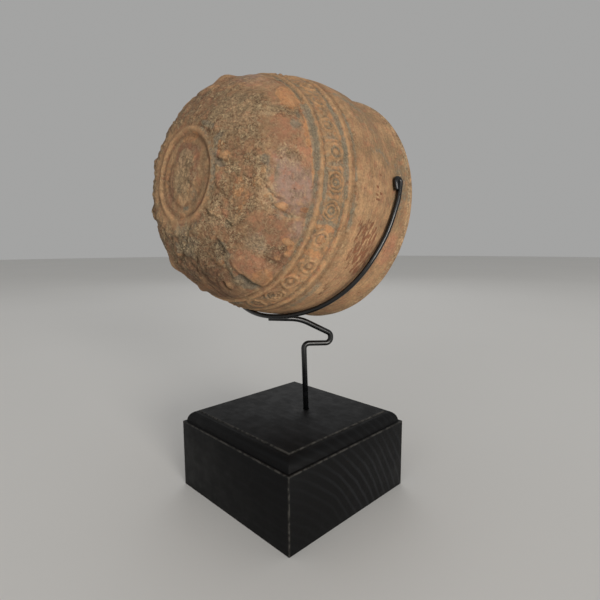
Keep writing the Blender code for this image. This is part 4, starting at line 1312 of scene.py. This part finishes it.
def relief_clay(ragged, grit, crust_curls_painted_light):
    """Fired clay with worn slip, orange where it is bare, and grey-green crust in its grooves."""
    material, tree, shader, place = new_material("relief clay")
    crumbly = attribute(tree, "crumbly")
    fine = use_group(tree, grit, {"Place": place, "Grit size": 1500.0, "Crumbly": crumbly})
    clay = blend_colour(tree, between(tree, fine["Mottle"], 0.36, 0.64), CLAY_DARK, CLAY_LIGHT)
    for name, tint, size, raggedness, edge, strength in TINTS:
        patch = flaking(tree, ragged, name, place, size, raggedness, edge)
        clay = tinted(tree, clay, patch, strength, colour(*tint))

    # reddish and greenish mottling all over
    hue = noise(tree, place, 330.0, 4.0, 0.65, 0.4)
    clay = tinted(tree, clay, between(tree, hue, 0.52, 0.64), 0.5, colour(166, 112, 84))
    greenish = between(tree, hue, 0.34, 0.47, 1.0, 0.0)
    clay = tinted(tree, clay, greenish, 0.26, colour(138, 122, 92))

    # streaks left by the wheel, diagonal flakes of dark slip and scuffs, under the rim
    rim = attribute(tree, "rim")
    unrolled = attribute(tree, "unrolled", "Vector")
    streaks = noise(tree, drawn_out(tree, unrolled, 8, 7.0), 900.0, 4.0, 0.65)
    dark_streaks = between(tree, streaks, 0.5, 0.66)
    clay = tinted(tree, clay, dark_streaks, times(tree, rim, 0.62), colour(132, 106, 84))
    pale_streaks = between(tree, streaks, 0.34, 0.46, 1.0, 0.0)
    clay = tinted(tree, clay, pale_streaks, times(tree, rim, 0.58), colour(184, 146, 106))
    slanted = drawn_out(tree, unrolled, 14, 3.2)
    flakes = flaking(tree, ragged, "scratched", slanted, 760.0, 1.9, 0.06)
    clay = tinted(tree, clay, flakes, 0.8, colour(120, 72, 50))
    scuffs = between(tree, noise(tree, slanted, 1500.0, 3.0, 0.65), 0.6, 0.68)
    clay = tinted(tree, clay, scuffs, times(tree, rim, 0.4), colour(112, 86, 66))

    # hollows are darkened with dirt and painted shade, raised edges are rubbed pale, and crust lies
    # in the grooves
    grain = times(tree, minus(tree, fine["Grit"], 0.5), 0.5)
    shade = plus(tree, attribute(tree, "hollow"), grain)
    # dirt and painted shade in the hollows
    clay = tinted(tree, clay, between(tree, shade, 0.6, 0.95), 0.42, colour(96, 68, 48))
    rubbed = between(tree, shade, 0.12, 0.4, 1.0, 0.0)
    clay = tinted(tree, clay, rubbed, 0.45, colour(196, 154, 112))
    crust = flaking(tree, ragged, "crust", place, 560.0, 1.7, 0.3)
    tones = (colour(94, 96, 86), colour(140, 138, 120))
    crust_colour = blend_colour(tree, between(tree, fine["Grit"], 0.38, 0.62), *tones)
    clay = tinted(tree, clay, crust, 0.68, crust_colour)

    # pale scale: flecks where it has gathered, a pale line along the lip that is partly a painted
    # highlight, and curling lines over the rough ground with painted highlights and painted shadows
    chalk_and_lip_highlight = flaking(tree, ragged, "chalk_and_lip_highlight", place, 1500.0, 2.6, 0.12)
    amount = larger(tree, crumbly, attribute(tree, "chalk_and_lip_highlight"))
    lines, finer = (
        use_group(tree, crust_curls_painted_light, {"Place": place, "Curl size": size, "Amount": amount})
        for size in (390.0, 780.0)
    )
    specks = noise(tree, place, 1150.0, 3.0, 0.7)
    grains = times(tree, between(tree, specks, 0.64, 0.72), times(tree, crumbly, 0.35))
    pale_scale_and_painted_highlights = larger(tree, times(tree, chalk_and_lip_highlight, 0.38), grains)
    # the curls' pale lines are painted highlights
    painted_highlight_lines = larger(tree, lines["Pale"], finer["Pale"])
    pale_scale_and_painted_highlights = larger(tree, pale_scale_and_painted_highlights, times(tree, painted_highlight_lines, 0.74))
    clay = blend_colour(tree, pale_scale_and_painted_highlights, clay, colour(216, 190, 150))
    # the curls' dark lines are painted shadows beside them
    painted_shadow_lines = larger(tree, lines["Dark"], finer["Dark"])
    clay = tinted(tree, clay, painted_shadow_lines, 0.4, colour(100, 62, 42))
    clay = tinted(tree, clay, fine["Pits"], 0.45, colour(80, 58, 44))

    # lighter and darker grains, and the places made paler or darker
    fleck = between(tree, specks, 0.36, 0.64, -0.25, 0.24)
    speckled = larger(tree, crumbly, times(tree, rim, 0.45))
    fleck = times(tree, fleck, between(tree, speckled, 0.2, 0.9, 0.4, 1.0))
    tone_shift = plus(tree, attribute(tree, "tone_shift"), 0.5)
    tone = times(tree, tone_shift, plus(tree, fleck, 1.0))
    grey = add_node(tree, "CombineColor", {"Red": tone, "Green": tone, "Blue": tone})
    clay = blend_colour(tree, 1.0, clay, grey.outputs[0], "MULTIPLY")

    sheen = between(tree, attribute(tree, "mauve"), 0.3, 0.7, 0.86, 0.68)
    shader.inputs["Specular IOR Level"].default_value = 0.3
    height = minus(tree, fine["Height"], times(tree, flakes, 0.25))
    height = plus(tree, height, times(tree, pale_scale_and_painted_highlights, 0.2))
    curls = plus(tree, lines["Height"], times(tree, finer["Height"], 0.5))
    height = plus(tree, height, times(tree, curls, 0.45))
    dress(tree, shader, clay, sheen, height, 0.00085, 0.95)
    return material


def black_lacquer(grit):
    """Black lacquered wire, faintly uneven."""
    material, tree, shader, place = new_material("black lacquered wire")
    fine = use_group(tree, grit, {"Place": place, "Grit size": 1200.0, "Crumbly": 0.2})
    tones = (colour(6, 7, 8), colour(15, 16, 18))
    tone = blend_colour(tree, between(tree, fine["Mottle"], 0.4, 0.7), *tones)
    gloss = between(tree, fine["Mottle"], 0.3, 0.7, 0.22, 0.36)
    dress(tree, shader, tone, gloss, fine["Grit"], 0.00003, 0.4)
    return material


def worn_near(tree, out, up, inset, height):
    """One along an edge that runs at one inset and height, fading within a millimetre."""
    across = maths(tree, "POWER", minus(tree, out, inset), 2.0)
    rise = maths(tree, "POWER", minus(tree, up, height), 2.0)
    off = maths(tree, "SQRT", plus(tree, across, rise))
    return between(tree, off, 0.0002, 0.0009, 1.0, 0.0)


def black_wood(grit):
    """Black-stained wood, its end grain on two sides, with the stain worn off along its edges."""
    material, tree, shader, place = new_material("black stained wood")
    fine = use_group(tree, grit, {"Place": place, "Grit size": 900.0, "Crumbly": 0.2})
    centred = mapped(tree, place, "Location", (0.0, -GRAIN_MIDDLE[0], -GRAIN_MIDDLE[1]))
    along = mapped(tree, centred, "Scale", (0.06, 1.0, 1.0))
    settings = {"Vector": along, "Scale": 0.314 / GRAIN_STEP, "Distortion": 1.6}
    settings.update({"Detail": 2.0, "Detail Scale": 0.9})
    wave = add_node(tree, "TexWave", settings, wave_type="RINGS", rings_direction="X")
    outward = length_of(tree, mapped(tree, centred, "Scale", (0.0, 1.0, 1.0)))
    ring = between(tree, wave.outputs["Fac"], 0.55, 1.0)
    ring = times(tree, ring, between(tree, outward, 0.068, 0.092, 0.15, 1.0))
    fibre = noise(tree, mapped(tree, place, "Scale", (0.05, 1.0, 1.0)), 2600.0, 3.0, 0.6)
    parts = add_node(tree, "SeparateXYZ", {"Vector": place}).outputs
    ring = times(tree, ring, between(tree, parts["Z"], 0.018, 0.034, 1.0, 0.35))
    tone = blend_colour(tree, ring, colour(7, 7, 8), colour(24, 25, 27))

    # the stain is worn off along the edges
    side_x, side_y = maths(tree, "ABSOLUTE", parts["X"]), maths(tree, "ABSOLUTE", parts["Y"])
    out, inner = larger(tree, side_x, side_y), maths(tree, "MINIMUM", side_x, side_y)
    half, top = BLOCK_SIDE / 2, BLOCK_HEIGHT
    edges = worn_near(tree, out, parts["Z"], half - MOULDING_WIDTH, top)
    ledge = worn_near(tree, out, parts["Z"], half, top - MOULDING_DROP)
    corner = worn_near(tree, out, inner, half, half)
    edges = larger(tree, edges, larger(tree, ledge, corner))
    broken = between(tree, noise(tree, place, 420.0, 4.0, 0.7), 0.38, 0.62, 0.15, 1.0)
    edges = times(tree, edges, broken)
    tone = tinted(tree, tone, edges, 0.75, colour(74, 72, 68))

    # a paler grey patch beside where the post goes in
    foot = (-POST_FOOT[0] + 0.0025, -POST_FOOT[1] + 0.003, -top)
    reach = length_of(tree, mapped(tree, place, "Location", foot))
    pale_patch_by_post = times(tree, between(tree, reach, 0.0005, 0.0045, 1.0, 0.0), broken)
    tone = tinted(tree, tone, pale_patch_by_post, 0.4, colour(80, 80, 80))
    dull = between(tree, fine["Mottle"], 0.3, 0.7, 0.5, 0.62)
    shader.inputs["Specular IOR Level"].default_value = 0.15
    height = plus(tree, times(tree, ring, 0.6), times(tree, fibre, 0.4))
    dress(tree, shader, tone, dull, height, 0.00025, 0.6)
    return material


def give(piece, material):
    piece.data.materials.clear()
    piece.data.materials.append(material)


# The studio


def make_floor():
    select_none()
    bpy.ops.mesh.primitive_circle_add(vertices=96, radius=4.0, fill_type="NGON")
    floor = bpy.context.object
    floor.name = "floor"
    material, tree, shader, place = new_material("pale floor")
    tone = noise(tree, place, 3.0, 2.0)
    tones = ((0.74, 0.73, 0.71, 1.0), (0.78, 0.77, 0.75, 1.0))
    tree.links.new(blend_colour(tree, tone, *tones), shader.inputs["Base Color"])
    shader.inputs["Roughness"].default_value = 0.9
    give(floor, material)


def soft_light(name, place, size, power, tint):
    light = bpy.data.lights.new(name, "AREA")
    light.shape = "DISK"
    light.size = size
    light.energy = power
    light.color = tint
    lamp = bpy.data.objects.new(name, light)
    lamp.location = place
    aim = Vector((0, 0, 0.12)) - Vector(place)
    lamp.rotation_euler = aim.to_track_quat("-Z", "Y").to_euler()
    bpy.context.scene.collection.objects.link(lamp)


def make_studio():
    world = bpy.data.worlds.new("studio")
    world.use_nodes = True
    air = world.node_tree.nodes["Background"]
    air.inputs["Color"].default_value = (0.88, 0.88, 0.87, 1.0)
    air.inputs["Strength"].default_value = 0.42
    bpy.context.scene.world = world
    soft_light("key", (2.6, -0.8, 0.56), 1.1, 51.5, (1.0, 0.965, 0.91))
    soft_light("front", (0.3, -0.95, 0.6), 0.7, 1.0, (0.99, 0.98, 0.97))
    soft_light("back", (-0.7, 0.7, 0.8), 0.8, 1.3, (0.97, 0.98, 1.0))
    bpy.context.scene.view_settings.view_transform = "Standard"


def make_camera():
    """The photograph's view: a 27 mm lens on a 36 mm frame."""
    data = bpy.data.cameras.new("camera")
    data.lens = 27.0
    data.sensor_width = 36.0
    data.clip_start = 0.01
    right = Vector((0.70024, 0.71389, -0.00436))
    up = Vector((-0.08795, 0.09233, 0.99184))
    back = Vector((0.70847, -0.69414, 0.12744))
    camera = bpy.data.objects.new("camera", data)
    turn = Matrix((right, up, back)).transposed().to_4x4()
    place = Vector((161.53, -152.37, 125.54)) * MM
    camera.matrix_world = Matrix.Translation(place) @ turn
    bpy.context.scene.collection.objects.link(camera)
    bpy.context.scene.camera = camera


make_camera()
make_floor()
make_studio()
bowl = make_bowl()
cradle = bent_wire("bent_cradle", "cradle", cradle_points(), CRADLE_DIAMETER, bowl_frame())
post = bent_wire("bent_post", "post", post_points(), POST_DIAMETER)
block = make_block()
ragged, grit = ragged_group(), grit_group()
give(bowl, relief_clay(ragged, grit, crust_curls_painted_light_group()))
lacquer = black_lacquer(grit)
give(cradle, lacquer)
give(post, lacquer)
give(block, black_wood(grit))
